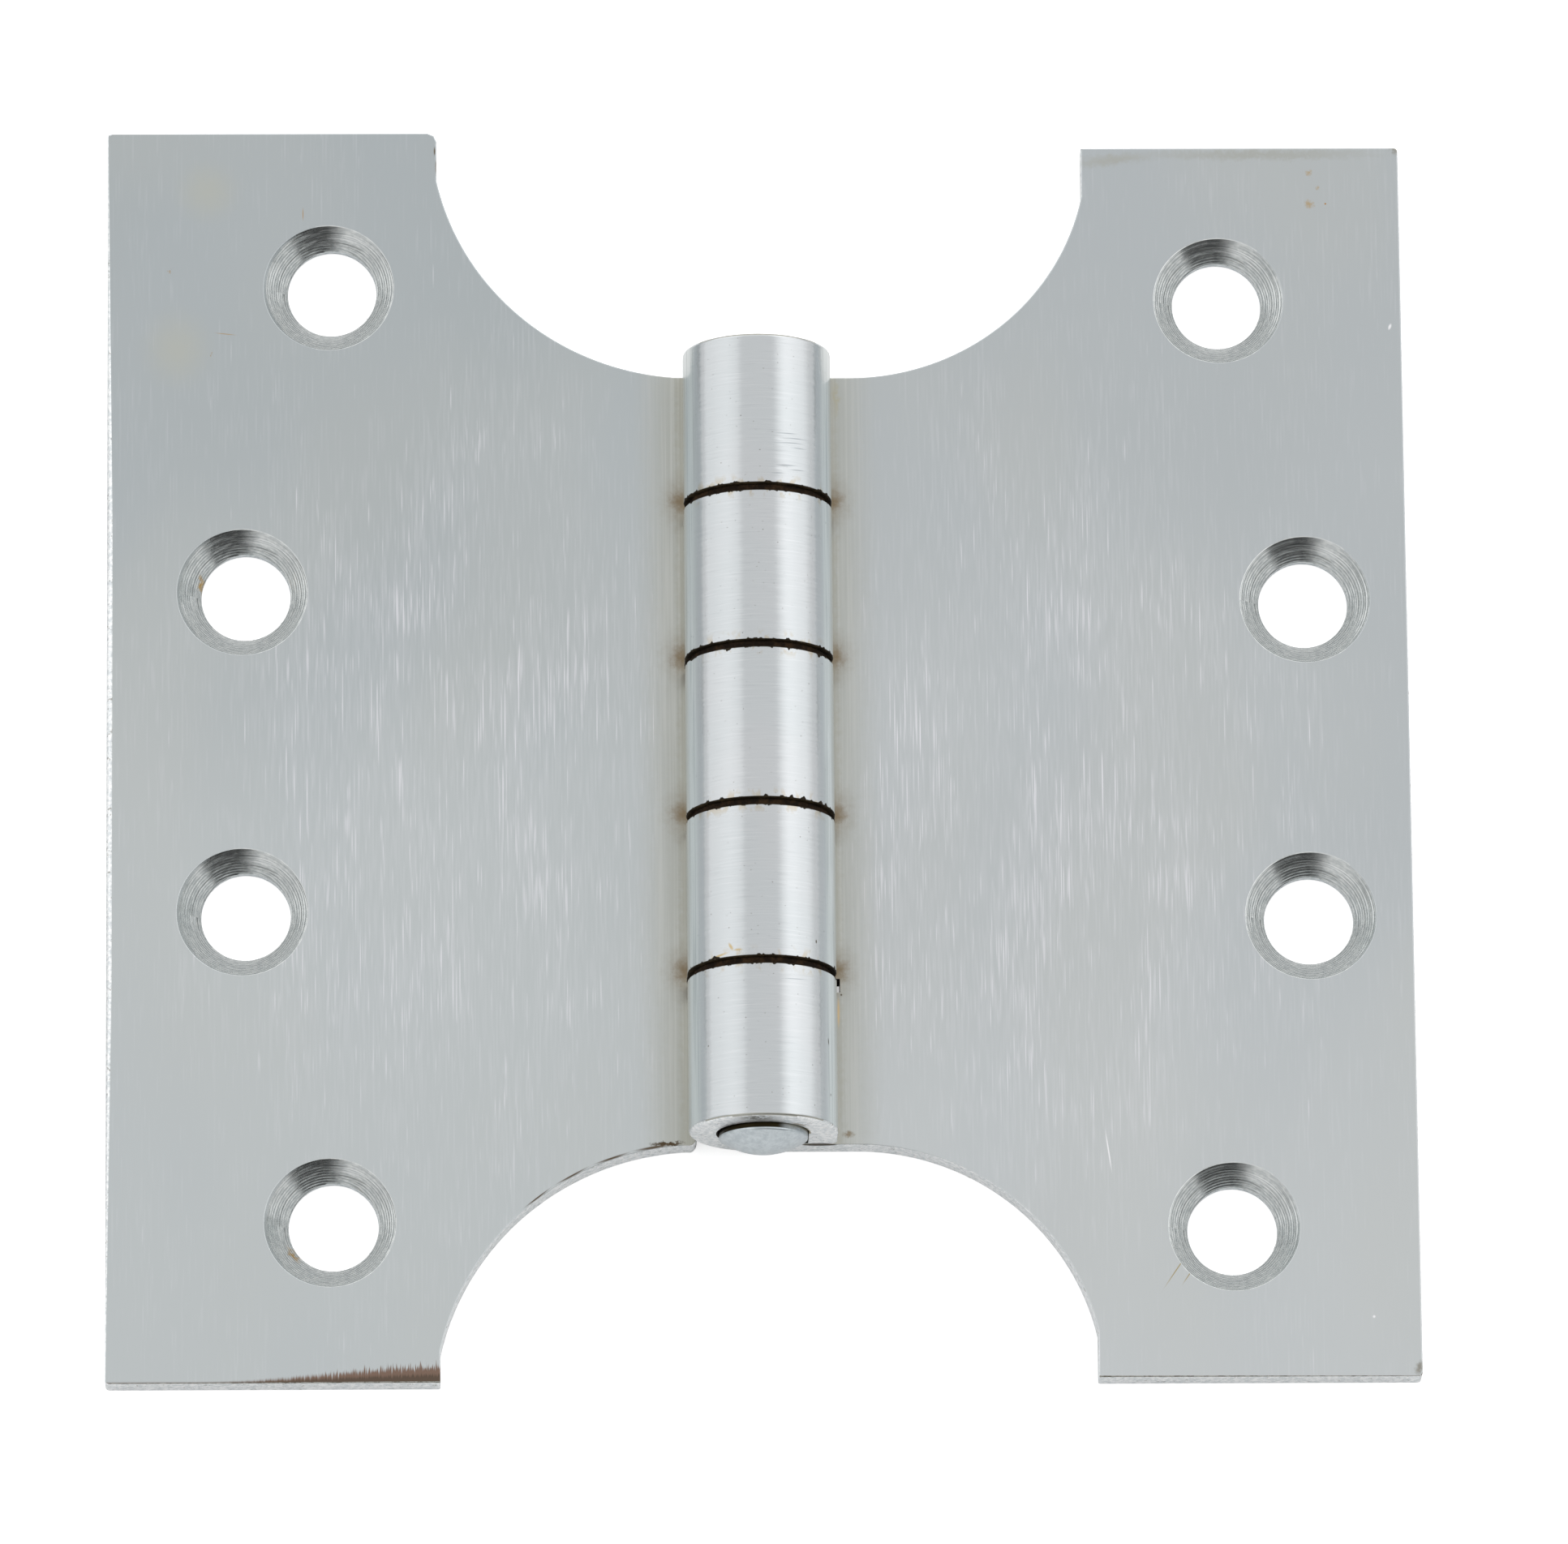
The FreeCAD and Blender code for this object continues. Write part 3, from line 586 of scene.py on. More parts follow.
from_middle = add_node(tree, "ShaderNodeMath", {0: above_middle}, operation="ABSOLUTE")
colour = lay(tree, KNUCKLE_ZINC, KNUCKLE_SHEEN, grain(tree, unrolled, 0.12, 0.09, 1.0), 0.4, 0.65, 0.4)
colour = lay(tree, colour, BRIGHT_STREAK, grain(tree, unrolled, 0.25, 9.0), 0.5, 0.8, 0.18)
colour = lay(tree, colour, DARK_STREAK, grain(tree, unrolled, 0.35, 6.0), 0.55, 0.8, 0.14)
clear_of_ends = add_node(tree, "ShaderNodeMapRange", {
    "Value": from_middle, "From Min": 26.0, "From Max": 24.0, "To Max": 0.45,
}, interpolation_type="SMOOTHSTEP")
near_gap = add_node(tree, "ShaderNodeMapRange", {
    "Value": from_gap, "From Min": 1.3, "From Max": 0.25, "To Max": clear_of_ends,
}, interpolation_type="SMOOTHSTEP")
colour = lay(tree, colour, GREASE_STAIN, grain(tree, unrolled, 1.3, 0.9, 4.0), 0.52, 0.62, near_gap)
from_top = add_node(tree, "ShaderNodeMath", {0: around}, operation="ABSOLUTE")
# The flanks low on each side of the barrel are painted brighter: a painted highlight of what they
# reflect.
colour = lay(tree, colour, FLANK_PAINTED_HIGHLIGHT, from_top, 5.4, 6.6)
on_flank = add_node(tree, "ShaderNodeMapRange", {
    "Value": from_top, "From Min": 5.4, "From Max": 6.6, "To Max": 0.45,
}, interpolation_type="SMOOTHSTEP")
colour = lay(tree, colour, FLANK_LINE, grain(tree, unrolled, 3.5, 0.07), 0.45, 0.7, on_flank)
for tint, places, fade in KNUCKLE_MARKS:
    colour = lay(tree, colour, tint, marks(tree, unrolled, places), 1.0, fade)
dirt_reach = add_node(tree, "ShaderNodeMapRange", {
    "Value": grain(tree, unrolled, 1.6, 0.6, 4.0),
    "From Min": 0.5, "From Max": 0.78, "To Min": 0.35, "To Max": 0.62,
}, interpolation_type="SMOOTHSTEP")
past_dirt = add_node(tree, "ShaderNodeMath", {0: from_gap, 1: dirt_reach}, operation="SUBTRACT")
between_ends = add_node(tree, "ShaderNodeMapRange", {
    "Value": from_middle, "From Min": 26.0, "From Max": 24.0,
}, interpolation_type="SMOOTHSTEP")
dirt = add_node(tree, "ShaderNodeMapRange", {
    "Value": past_dirt, "From Min": 0.03, "From Max": -0.03, "To Max": between_ends,
}, interpolation_type="SMOOTHSTEP")
colour = add_node(tree, "ShaderNodeMix", {0: dirt, 6: colour, 7: GAP_DIRT}, data_type="RGBA").outputs[2]
colour = lay(tree, colour, PIT, grain(tree, unrolled, 6.0, 6.0, 0.0), 0.82, 0.85, 0.7)
rough = add_node(tree, "ShaderNodeMapRange", {
    "Value": dirt, "From Max": 1.0, "To Min": 0.16, "To Max": 0.8,
}, interpolation_type="SMOOTHSTEP")
# The facets that the rolling tool left turn the reflections a little round the barrel, and
# more where the first knuckle is scuffed.
scuffed = marks(tree, unrolled, [(2.6, 22.6, 1.6, 0.8, 0), (2.5, 20.4, 1.5, 0.4, 0)])
swing = add_node(tree, "ShaderNodeMapRange", {
    "Value": scuffed, "From Min": 1.0, "From Max": 0.4, "To Min": 0.035, "To Max": 0.335,
}, interpolation_type="SMOOTHSTEP")
FACET_TURN = 0.5 * MM / BARREL_RADIUS
facets = add_node(tree, "ShaderNodeMapRange", {
    "Value": grain(tree, unrolled, 0.3, 5.0, 3.0),
    "From Min": 0.2, "From Max": 0.8, "To Min": -FACET_TURN, "To Max": FACET_TURN,
}, interpolation_type="SMOOTHSTEP")
turn = add_node(tree, "ShaderNodeMath", {0: facets, 1: swing}, operation="MULTIPLY")
back_across = add_node(tree, "ShaderNodeMath", {0: across, 1: -1.0}, operation="MULTIPLY")
tangent = add_node(tree, "ShaderNodeVectorTransform", {
    0: add_node(tree, "ShaderNodeCombineXYZ", {0: above_axis, 2: back_across}),
}, convert_from="OBJECT", convert_to="WORLD")
turned_by = add_node(tree, "ShaderNodeVectorMath", {0: tangent, "Scale": turn}, operation="SCALE")
leaning = add_node(tree, "ShaderNodeVectorMath", {
    0: add_node(tree, "ShaderNodeNewGeometry").outputs["Normal"], 1: turned_by,
}, operation="ADD")
faceted = add_node(tree, "ShaderNodeVectorMath", {0: leaning}, operation="NORMALIZE")
height = add_node(tree, "ShaderNodeMath", {
    0: grain(tree, unrolled, 0.4, 6.0, 3.0), 1: 0.08, 2: grain(tree, unrolled, 0.25, 0.12, 0.0),
}, operation="MULTIPLY_ADD")
bare = add_node(tree, "ShaderNodeMath", {0: 1.0, 1: dirt}, operation="SUBTRACT")
surface(tree, colour, rough, height, 0.02 * MM, faceted, bare, 0.15)

# Cut edges: steel that was sheared and then plated, pale and speckled, with a dark scuff over the bore
# of the end knuckles and dirt in the seam under the free end of each curl. The same pale finish on the
# rounded left side of the left leaf is a painted highlight.
sheared_edge_and_highlight, tree = new_material("sheared_plated_edge_and_painted_highlight")
in_mm = place_in_mm(tree)
speckle = speckles(tree, 3.0)
colour = lay(tree, "#cdd2d4", "#f0f1f1", speckle, 0.35, 0.65)
spots = add_node(tree, "ShaderNodeTexNoise", {
    "Vector": in_mm, "Scale": 1.6, "Detail": 4.0, "Roughness": 0.8,
})
colour = lay(tree, colour, "#5f5a4c", spots, 0.6, 0.66, 0.6)
across, along, upwards = add_node(tree, "ShaderNodeSeparateXYZ", {0: in_mm}).outputs
end_view = add_node(tree, "ShaderNodeCombineXYZ", {0: across, 1: upwards})
scuff = add_node(tree, "ShaderNodeMapRange", {
    "Value": marks(tree, end_view, [(-0.6, 10.7, 2.3, 1.4, 3)]), "From Min": 1.0, "From Max": 0.0,
}, interpolation_type="SMOOTHSTEP")
colour = lay(tree, colour, "#4a463c", speckle, 0.42, 0.52, scuff)
colour = lay(tree, colour, "#a58d63", marks(tree, end_view, [(2.7, 8.6, 1.2, 0.2, -38)]), 1.0, 0.0)
seam = marks(tree, end_view, [(4.4, (SHEET + SEAM_GAP) / MM, 1.6, 0.5, 0)])
colour = lay(tree, colour, "#33291d", seam, 1.0, 0.75)
surface(tree, colour, 0.38, speckle, 0.015 * MM)

# Countersinks: turned with a chattering cutter. The rings are 0.24 mm apart and broken, and they fade
# out at the foot; the pale and dark rings over them are painted highlight and painted shade.
TURNING_MAP = "turning"
turned_sink, tree = new_material("turned_zinc_plated_countersink")
spread = add_node(tree, "ShaderNodeUVMap", uv_map=TURNING_MAP)
colour = lay(tree, "#bbbfbf", "#cccfce", grain(tree, spread, 2.5, 5.0, 3.0), 0.4, 0.62)
bearing_on_rim = add_node(tree, "ShaderNodeMath", {
    0: add_node(tree, "ShaderNodeSeparateXYZ", {0: spread}), 1: HOLE_RADIUS / MM,
}, operation="DIVIDE")
chatter_and_ring_light = add_node(tree, "ShaderNodeMapRange", {
    "Value": add_node(tree, "ShaderNodeMath", {0: bearing_on_rim}, operation="SINE"),
    "From Min": -0.7, "From Max": 0.1, "To Min": 0.15, "To Max": 1.0,
}, interpolation_type="SMOOTHSTEP")
# Pale rings are a painted highlight and dark rings a painted shade, strongest on the side of each hole
# towards the top of the pin.
for tint, across_waves, along_waves, share in (
    ("#eceeee", 0.15, 10.0, 0.45), ("#50524f", 0.2, 8.0, 0.6),
):
    rings = grain(tree, spread, across_waves, along_waves, 1.0)
    strength = add_node(tree, "ShaderNodeMath", {0: chatter_and_ring_light, 1: share}, operation="MULTIPLY")
    colour = lay(tree, colour, tint, rings, 0.6, 0.66, strength)
rust = marks(tree, sheet_places(tree)[1], [(-43.6, 14.1, 0.4, 1.0, 10), (-36.4, -40.2, 0.35, 1.1, 35)])
colour = lay(tree, colour, "#b39562", rust, 1.0, 0.0)
height = add_node(tree, "ShaderNodeMath", {
    0: grain(tree, spread, 0.25, 7.0, 2.0), 1: chatter_and_ring_light,
}, operation="MULTIPLY")
surface(tree, colour, 0.2, height, 0.016 * MM)

# Walls of the screw holes: drilled, plated and dull.
drilled_wall, tree = new_material("drilled_plated_hole_wall")
speckle = speckles(tree, 3.0)
surface(tree, lay(tree, "#b9bfc2", "#dadee0", speckle, 0.35, 0.65), 0.5, speckle, 0.01 * MM)

# Foot edges of both leaves: the rounded edge along the foot is painted dark and speckled, a painted
# reflection of the dim front of the studio.
foot_edge_reflection, tree = new_material("foot_edge_painted_dark_reflection")
speckle = speckles(tree, 2.0)
surface(tree, lay(tree, "#6b675c", "#a3a29b", speckle, 0.35, 0.6), 0.5, speckle, 0.01 * MM)

# Bores and the seams under the curls: lined with old dark grease, which is wiped off the
# right side of the lower mouth.
greasy_bore, tree = new_material("greasy_bore_wall")
colour = lay(tree, "#1b150c", "#3f3320", speckles(tree, 1.2, 4.0), 0.4, 0.7)
across, along, upwards = add_node(tree, "ShaderNodeSeparateXYZ", {
    0: add_node(tree, "ShaderNodeTexCoord").outputs["Object"],
}).outputs
at_mouth = add_node(tree, "ShaderNodeMapRange", {
    "Value": along, "From Min": BARREL_BOTTOM + 1.2 * MM, "From Max": BARREL_BOTTOM + 0.8 * MM,
}, interpolation_type="SMOOTHSTEP")
colour = lay(tree, colour, "#b3a88e", across, 0.4 * MM, 1.4 * MM, at_mouth)
surface(tree, colour, 0.7, bare=0.0, gloss=0.12)

right_sheet = brushed_sheet("brushed_zinc_plated_sheet_right", 1, ("#aeb3b5", "#bec2c3"), -25.0, 0.7, [
    ("#ab9a7e", [
        (43.95, 47.3, 0.4, 0.35, 0), (44.6, 46.1, 0.3, 0.3, 0), (43.9, 44.8, 0.45, 0.4, 0),
    ], 0.0),
    ("#a7a9a5", [(40.0, 48.9, 13.0, 0.6, 0), (28.5, 48.5, 5.0, 0.7, 6)], 0.0),
    ("#8a8070", [(6.7, -31.1, 0.6, 0.4, 0)], 0.0),
    ("#aaa797", [(6.3, 28.8, 0.4, 2.0, 0)], 0.0),
    ("#8f8d85", [(50.8, -49.9, 0.5, 1.0, -30), (50.8, 49.3, 0.5, 0.7, 25)], 0.0),
], [
    ("#a87c3e", [(45.2, 44.8, 0.1, 0.1, 0)], 0.4),
    ("#a39673", [(32.1, -41.9, 0.07, 2.4, -34), (33.0, -42.4, 0.06, 1.2, -34)], 0.2),
    ("#c4ae8c", [(6.02, -21.3, 0.14, 1.6, 0)], 0.2),
    ("#5b5448", [(6.25, -19.85, 0.12, 0.12, 0)], 0.2),
    ("#e6e6e8", [
        (50.1, 34.6, 0.15, 0.35, -20), (47.3, -45.8, 0.15, 0.15, 0), (26.9, -32.5, 0.08, 2.1, 8),
    ], 0.3),
])


def paint(leaf, side, sheet):
    """Gives each face of a leaf the finish that its making left, a painted dark reflection on its foot
    bevel and a painted highlight on the left leaf's outer side.
    """
    for finish in (
        sheet, knuckle_face, sheared_edge_and_highlight, turned_sink, drilled_wall, greasy_bore, foot_edge_reflection,
    ):
        leaf.data.materials.append(finish)
    foot = min(corner[1] for corner in leaf.bound_box)
    bpy.ops.object.mode_set(mode="EDIT")

    def nearest_hole(middle):
        return min(leaf_holes[side], key=lambda hole: math.hypot(middle.x - hole[0], middle.y - hole[1]))

    def from_hole(middle):
        x, y = nearest_hole(middle)
        return math.hypot(middle.x - x, middle.y - y)

    def is_rolled(face):
        middle = place(face)
        return abs(middle.x) < BARREL_RADIUS + TOUCH and abs(face.normal.y) < 0.5 and not (
            middle.z < SHEET + TOUCH and abs(face.normal.z) > 0.5 and middle.x * side > 0
        )

    def is_sheared_or_lit_side(face):
        # The rounded left side of the left leaf takes the pale cut-edge finish as a painted highlight.
        lit_outer_side = place(face).x < left_low.x + EDGE_WEAR and face.normal.x < -0.1
        return (abs(face.normal.z) < 0.5 and not is_rolled(face)) or lit_outer_side

    def is_turned(face):
        return from_hole(place(face)) < SINK_RADIUS + TOUCH and 0.3 < abs(face.normal.z) < 0.95

    def is_drilled(face):
        return from_hole(place(face)) < HOLE_RADIUS + TOUCH and abs(face.normal.z) < 0.3

    def is_greasy(face):
        middle = place(face)
        under_curl = BORE_RADIUS < middle.x * side < BARREL_RADIUS and near(middle.z, SHEET + SEAM_GAP)
        in_gap = BARREL_BOTTOM + TOUCH < middle.y < BARREL_TOP - TOUCH and abs(middle.x) < BARREL_RADIUS
        return (from_axis(middle) < BORE_RADIUS + MOUTH_WEAR and abs(face.normal.y) < FACING) or (
            under_curl and face.normal.z < -FACING
        ) or (in_gap and abs(face.normal.y) > FACING)

    # The rounded edge along the foot, which carries the painted dark reflection.
    def is_foot_bevel(face):
        middle = place(face)
        return middle.y < foot + 2 * FOOT_WEAR and abs(middle.x) > BARREL_RADIUS and (
            face.normal.y < -0.2 and face.normal.z > 0.2
        )

    tests = (is_rolled, is_sheared_or_lit_side, is_turned, is_drilled, is_greasy, is_foot_bevel)
    for index, test in enumerate(tests, start=1):
        pick("FACE", test)
        leaf.active_material_index = index
        bpy.ops.object.material_slot_assign()

    def is_ring(edge):
        level = near(edge.verts[0].co.z, edge.verts[1].co.z)
        return level and all(is_turned(face) for face in edge.link_faces) and len(edge.link_faces) == 2

    pick("EDGE", is_ring)
    bpy.ops.mesh.mark_sharp()
    mesh = bmesh.from_edit_mesh(leaf.data)
    turning = mesh.loops.layers.uv.new(TURNING_MAP)
    for face in mesh.faces:
        if is_turned(face):
            middle = place(face)
            x, y = nearest_hole(middle)
            facing = math.atan2(middle.y - y, middle.x - x)
            for loop in face.loops:
                spot = loop.vert.co
                turned = math.atan2(spot.y - y, spot.x - x)
                turned += 2 * math.pi * round((facing - turned) / (2 * math.pi))
                radius = math.hypot(spot.x - x, spot.y - y)
                loop[turning].uv = (turned * HOLE_RADIUS / MM, radius / MM)
    bmesh.update_edit_mesh(leaf.data)
    bpy.ops.object.mode_set(mode="OBJECT")


def shade(piece):
    """Smooth shading that stays flat on flat faces."""
    select_only(piece)
    bpy.ops.object.shade_smooth_by_angle(angle=math.radians(50), keep_sharp_edges=True)
    apply_modifier(piece, "WEIGHTED_NORMAL", keep_sharp=True)


leaf_holes = {1: [], -1: []}
right_leaf = roll_leaf(
    "right_leaf_sheet", 1, right_high.x, right_low.y, right_high.y,
    [(BARREL_TOP, right_high.y), slot(2), slot(4), (right_low.y, BARREL_BOTTOM)],
)
RIGHT_CENTRE = BARREL_RADIUS + 1.6 * MM
RIGHT_SCALLOP = (right_high.x - 25.1 * MM - RIGHT_CENTRE) / math.sin(SCALLOP_SWEEP)
cut_scallop(right_leaf, 1, 1, RIGHT_CENTRE, RIGHT_SCALLOP, UPPER_NECK, SLOT_EDGE - TOUCH)
cut_scallop(right_leaf, 1, -1, RIGHT_CENTRE, RIGHT_SCALLOP, BARREL_BOTTOM, SLOT_EDGE - TOUCH)
RIGHT_MIDDLE = (right_low.y + right_high.y) / 2
for margin, rows, slip in ((14.5 * MM, END_ROWS, 0.65 * MM), (8.1 * MM, MIDDLE_ROWS, 0.25 * MM)):
    for y in (rows / 2 - slip, -rows / 2):
        hole = (right_high.x - margin, RIGHT_MIDDLE + y)
        leaf_holes[1].append(hole)
        drill_and_countersink(right_leaf, *hole, 0.1 * MM)
drop_slivers(right_leaf)
round_edges(right_leaf, lambda e: on_curl_end(e, 1), CURL_CORNER, 6)
for level in (BARREL_TOP, BARREL_BOTTOM):
    round_edges(right_leaf, lambda e: on_circle(e, level, BARREL_RADIUS), RIM_ROUNDING, 4)
    round_edges(right_leaf, lambda e: on_circle(e, level, BORE_RADIUS), MOUTH_WEAR, 2)
round_edges(right_leaf, lambda e: upright_at(e, right_high.x, (right_low.y, right_high.y)), CORNER_WEAR)
round_edges(right_leaf, lambda e: on_foot(e, right_low.y), FOOT_WEAR)
round_edges(right_leaf, sharp, SOFT_EDGE, 2)
# The tool that cut the slot for the fourth knuckle ran a little into the sheet at its foot.
RUNOUT = 0.35 * MM
RUNOUT_LENGTH = 1.1 * MM
slot_foot = slot(4)[0]
cut_block(
    right_leaf,
    (SLOT_EDGE - RUNOUT, slot_foot, -OVERRUN),
    (BARREL_RADIUS + RUNOUT, slot_foot + RUNOUT_LENGTH, SHEET + SEAM_GAP / 2),
)
paint(right_leaf, 1, right_sheet)
shade(right_leaf)
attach(right_leaf, "right_side")
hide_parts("right_leaf")

# Left leaf: the same sheet and work, with the second and fourth knuckle and rounded
# corners where its neck meets the slots. It is slightly longer than the right leaf.
left_leaf = roll_leaf(
    "left_leaf_sheet", -1, -left_low.x, left_low.y, left_high.y,
    [(slot(1)[0], left_high.y), slot(3), (left_low.y, slot(5)[1])],
)
LEFT_CENTRE = SLOT_EDGE - 0.2 * MM
LEFT_WING = 25.95 * MM
LEFT_SCALLOP = (-left_low.x - LEFT_WING - LEFT_CENTRE) / math.sin(SCALLOP_SWEEP)
cut_scallop(left_leaf, -1, 1, -LEFT_CENTRE, LEFT_SCALLOP, UPPER_NECK, -LEFT_CENTRE + OVERRUN)
cut_scallop(left_leaf, -1, -1, -LEFT_CENTRE, LEFT_SCALLOP, BARREL_BOTTOM, -LEFT_CENTRE + OVERRUN)
for margin, rows in ((17.7 * MM, END_ROWS), (10.9 * MM, MIDDLE_ROWS)):
    for up in (1, -1):
        hole = (left_low.x + margin, up * rows / 2)
        leaf_holes[-1].append(hole)
        drill_and_countersink(left_leaf, *hole, -0.3 * MM)


def is_neck_corner(edge):
    """Upright edge where the left leaf's neck meets a slot."""
    upright = abs(edge.verts[0].co.z - edge.verts[1].co.z) > SHEET / 2
    middle = place(edge)
    return upright and near(middle.x, -SLOT_EDGE) and (
        abs(middle.y - UPPER_NECK) < 0.1 * MM or abs(middle.y - BARREL_BOTTOM) < 0.1 * MM
    )


def on_outer_edge(edge):
    """Edge of the face along the left side of the leaf."""
    return all(near(v.co.x, left_low.x) and near(v.co.z, SHEET) for v in edge.verts)


drop_slivers(left_leaf)
round_edges(left_leaf, is_neck_corner, 0.8 * MM, 6)
round_edges(left_leaf, lambda e: on_curl_end(e, -1), CURL_CORNER, 6)
round_edges(left_leaf, lambda e: upright_at(e, left_low.x, (left_low.y, left_high.y)), CORNER_WEAR)
round_edges(left_leaf, lambda e: upright_at(e, left_low.x + LEFT_WING, (left_high.y,)), 0.7 * MM, 2)
round_edges(left_leaf, on_outer_edge, EDGE_WEAR)
round_edges(left_leaf, lambda e: on_foot(e, left_low.y), FOOT_WEAR)
round_edges(left_leaf, sharp, SOFT_EDGE, 2)
left_sheet = brushed_sheet("brushed_zinc_plated_sheet_left", -1, ("#a8aeb0", "#b8bdbe"), 5.0, 0.85, [
    ("#aeb1ac", [(-43.1, 46.0, 3.2, 3.2, 20), (-45.5, 33.0, 3.5, 4.0, 0)], 0.0),
    ("#a4937c", [(-46.15, 39.4, 0.15, 0.15, 0), (-42.8, 32.5, 0.12, 0.2, 0)], 0.0),
    ("#4f4334", [(-7.4, -31.75, 1.6, 0.25, 0)], 0.4),
], [
    ("#a9906f", [(-35.6, 44.1, 0.06, 0.7, 0), (-41.7, 34.2, 1.1, 0.05, -6)], 0.2),
    ("#6a6052", [(-25.2, 49.3, 0.1, 0.5, 0), (-25.1, 48.0, 0.07, 0.9, 0)], 0.2),
    ("#5a4e40", [
        (-8.5, -32.08, 1.9, 0.15, 10), (-11.7, -32.93, 1.8, 0.12, 19), (-14.8, -34.31, 1.8, 0.1, 29),
        (-17.5, -36.08, 1.6, 0.09, 38),
    ], 0.2),
], 2.6)
paint(left_leaf, -1, left_sheet)
shade(left_leaf)
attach(left_leaf, "left_side")
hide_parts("left_leaf")

# Hinge pin: a turned steel pin with domed ends, pushed through all five knuckles. It has
# slid down a little, so that its lower dome stands out and its upper dome lies inside.
PIN_RADIUS = pin_high.x
PIN_RIM = 0.2 * MM
PIN_DOME = 1.0 * MM
DOME_FOOT = PIN_RADIUS - PIN_RIM
DOME_RADIUS = (DOME_FOOT ** 2 + PIN_DOME ** 2) / (2 * PIN_DOME)
DOME_SPREAD = math.asin(DOME_FOOT / DOME_RADIUS)
DOME_STEPS = 16
RIM_STEPS = 4
PIN_SIDES = 120
hinge_pin = start_piece(
    "hinge_pin_turned",
    bpy.ops.mesh.primitive_plane_add,
    size=1 * MM,
    location=(0, pin_low.y, AXIS_HEIGHT),
)
bpy.ops.mesh.merge(type="CENTER")
low_rim = pin_low.y + PIN_DOME + PIN_RIM
high_rim = pin_high.y - PIN_DOME - PIN_RIM
low_dome = (0, pin_low.y + DOME_RADIUS, AXIS_HEIGHT)
high_dome = (0, pin_high.y - DOME_RADIUS, AXIS_HEIGHT)
low_corner = (DOME_FOOT, low_rim, AXIS_HEIGHT)
high_corner = (DOME_FOOT, high_rim, AXIS_HEIGHT)
bpy.ops.mesh.spin(steps=DOME_STEPS, angle=DOME_SPREAD, center=low_dome, axis=(0, 0, -1))
bpy.ops.mesh.spin(steps=RIM_STEPS, angle=math.pi / 2, center=low_corner, axis=(0, 0, -1))
bpy.ops.mesh.extrude_vertices_move(TRANSFORM_OT_translate={"value": (0, high_rim - low_rim, 0)})
bpy.ops.mesh.spin(steps=RIM_STEPS, angle=math.pi / 2, center=high_corner, axis=(0, 0, -1))
bpy.ops.mesh.spin(steps=DOME_STEPS, angle=DOME_SPREAD, center=high_dome, axis=(0, 0, -1))
bpy.ops.mesh.select_all(action="SELECT")
bpy.ops.mesh.spin(steps=PIN_SIDES, angle=2 * math.pi, center=(0, 0, AXIS_HEIGHT), axis=(0, 1, 0))
bpy.ops.mesh.select_all(action="SELECT")
bpy.ops.mesh.remove_doubles(threshold=TOUCH / 10)
bpy.ops.mesh.normals_make_consistent(inside=False)
bpy.ops.object.mode_set(mode="OBJECT")
pin_steel, tree = new_material("turned_pin_steel")
speckle = speckles(tree, 2.0, 4.0)
colour = lay(tree, "#b4bcc0", "#c6cdd0", speckle, 0.35, 0.65)
colour = lay(tree, colour, "#6b6d66", speckle, 0.68, 0.72)
across, along, upwards = add_node(tree, "ShaderNodeSeparateXYZ", {
    0: add_node(tree, "ShaderNodeTexCoord").outputs["Object"],
}).outputs
# The shank just inside the lower mouth is painted dark brown, most on the left: painted shade of the
# groove between the pin and the bore.
groove_shade_share = add_node(tree, "ShaderNodeMapRange", {
    "Value": across, "From Min": 2.2 * MM, "From Max": 1.0 * MM, "To Min": 0.2, "To Max": 1.0,
}, interpolation_type="SMOOTHSTEP")
colour = lay(tree, colour, "#2b2516", along, low_rim - 0.02 * MM, low_rim + 0.04 * MM, groove_shade_share)
surface(tree, colour, 0.33, speckle, 0.006 * MM)
hinge_pin.data.materials.append(pin_steel)
shade(hinge_pin)
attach(hinge_pin, "right_side")
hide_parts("hinge_pin")

# Dried grease and dirt: dark brown rings that fill the four gaps between the knuckles
# almost to the outside of the barrel.
GREASE_RADIUS = BARREL_RADIUS - 0.45 * MM
RING_PLAY = 0.02 * MM
grease, tree = new_material("dried_grease_and_dirt")
colour = lay(tree, "#1c140d", "#3d2c1b", speckles(tree, 1.2, 4.0), 0.4, 0.7)
surface(tree, colour, 0.8, bare=0.0, gloss=0.12)
for number in range(1, 5):
    gap_middle = knuckle(number)[0] - KNUCKLE_GAP / 2
    ring = start_piece(
        f"grease_ring_{number}",
        bpy.ops.mesh.primitive_cylinder_add,
        vertices=PIN_SIDES,
        radius=GREASE_RADIUS,
        depth=KNUCKLE_GAP - 2 * RING_PLAY,
        location=(0, gap_middle, AXIS_HEIGHT),
        rotation=(math.pi / 2, 0, 0),
    )
    pick("FACE", lambda f: abs(f.normal.y) > FACING)
    bpy.ops.mesh.inset(thickness=GREASE_RADIUS - PIN_RADIUS - RING_PLAY)
    bpy.ops.mesh.delete(type="FACE")
    pick("EDGE", lambda e: len(e.link_faces) == 1)
    bpy.ops.mesh.bridge_edge_loops()
    bpy.ops.object.mode_set(mode="OBJECT")
    ring.data.materials.append(grease)
    shade(ring)
    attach(ring, "right_side")

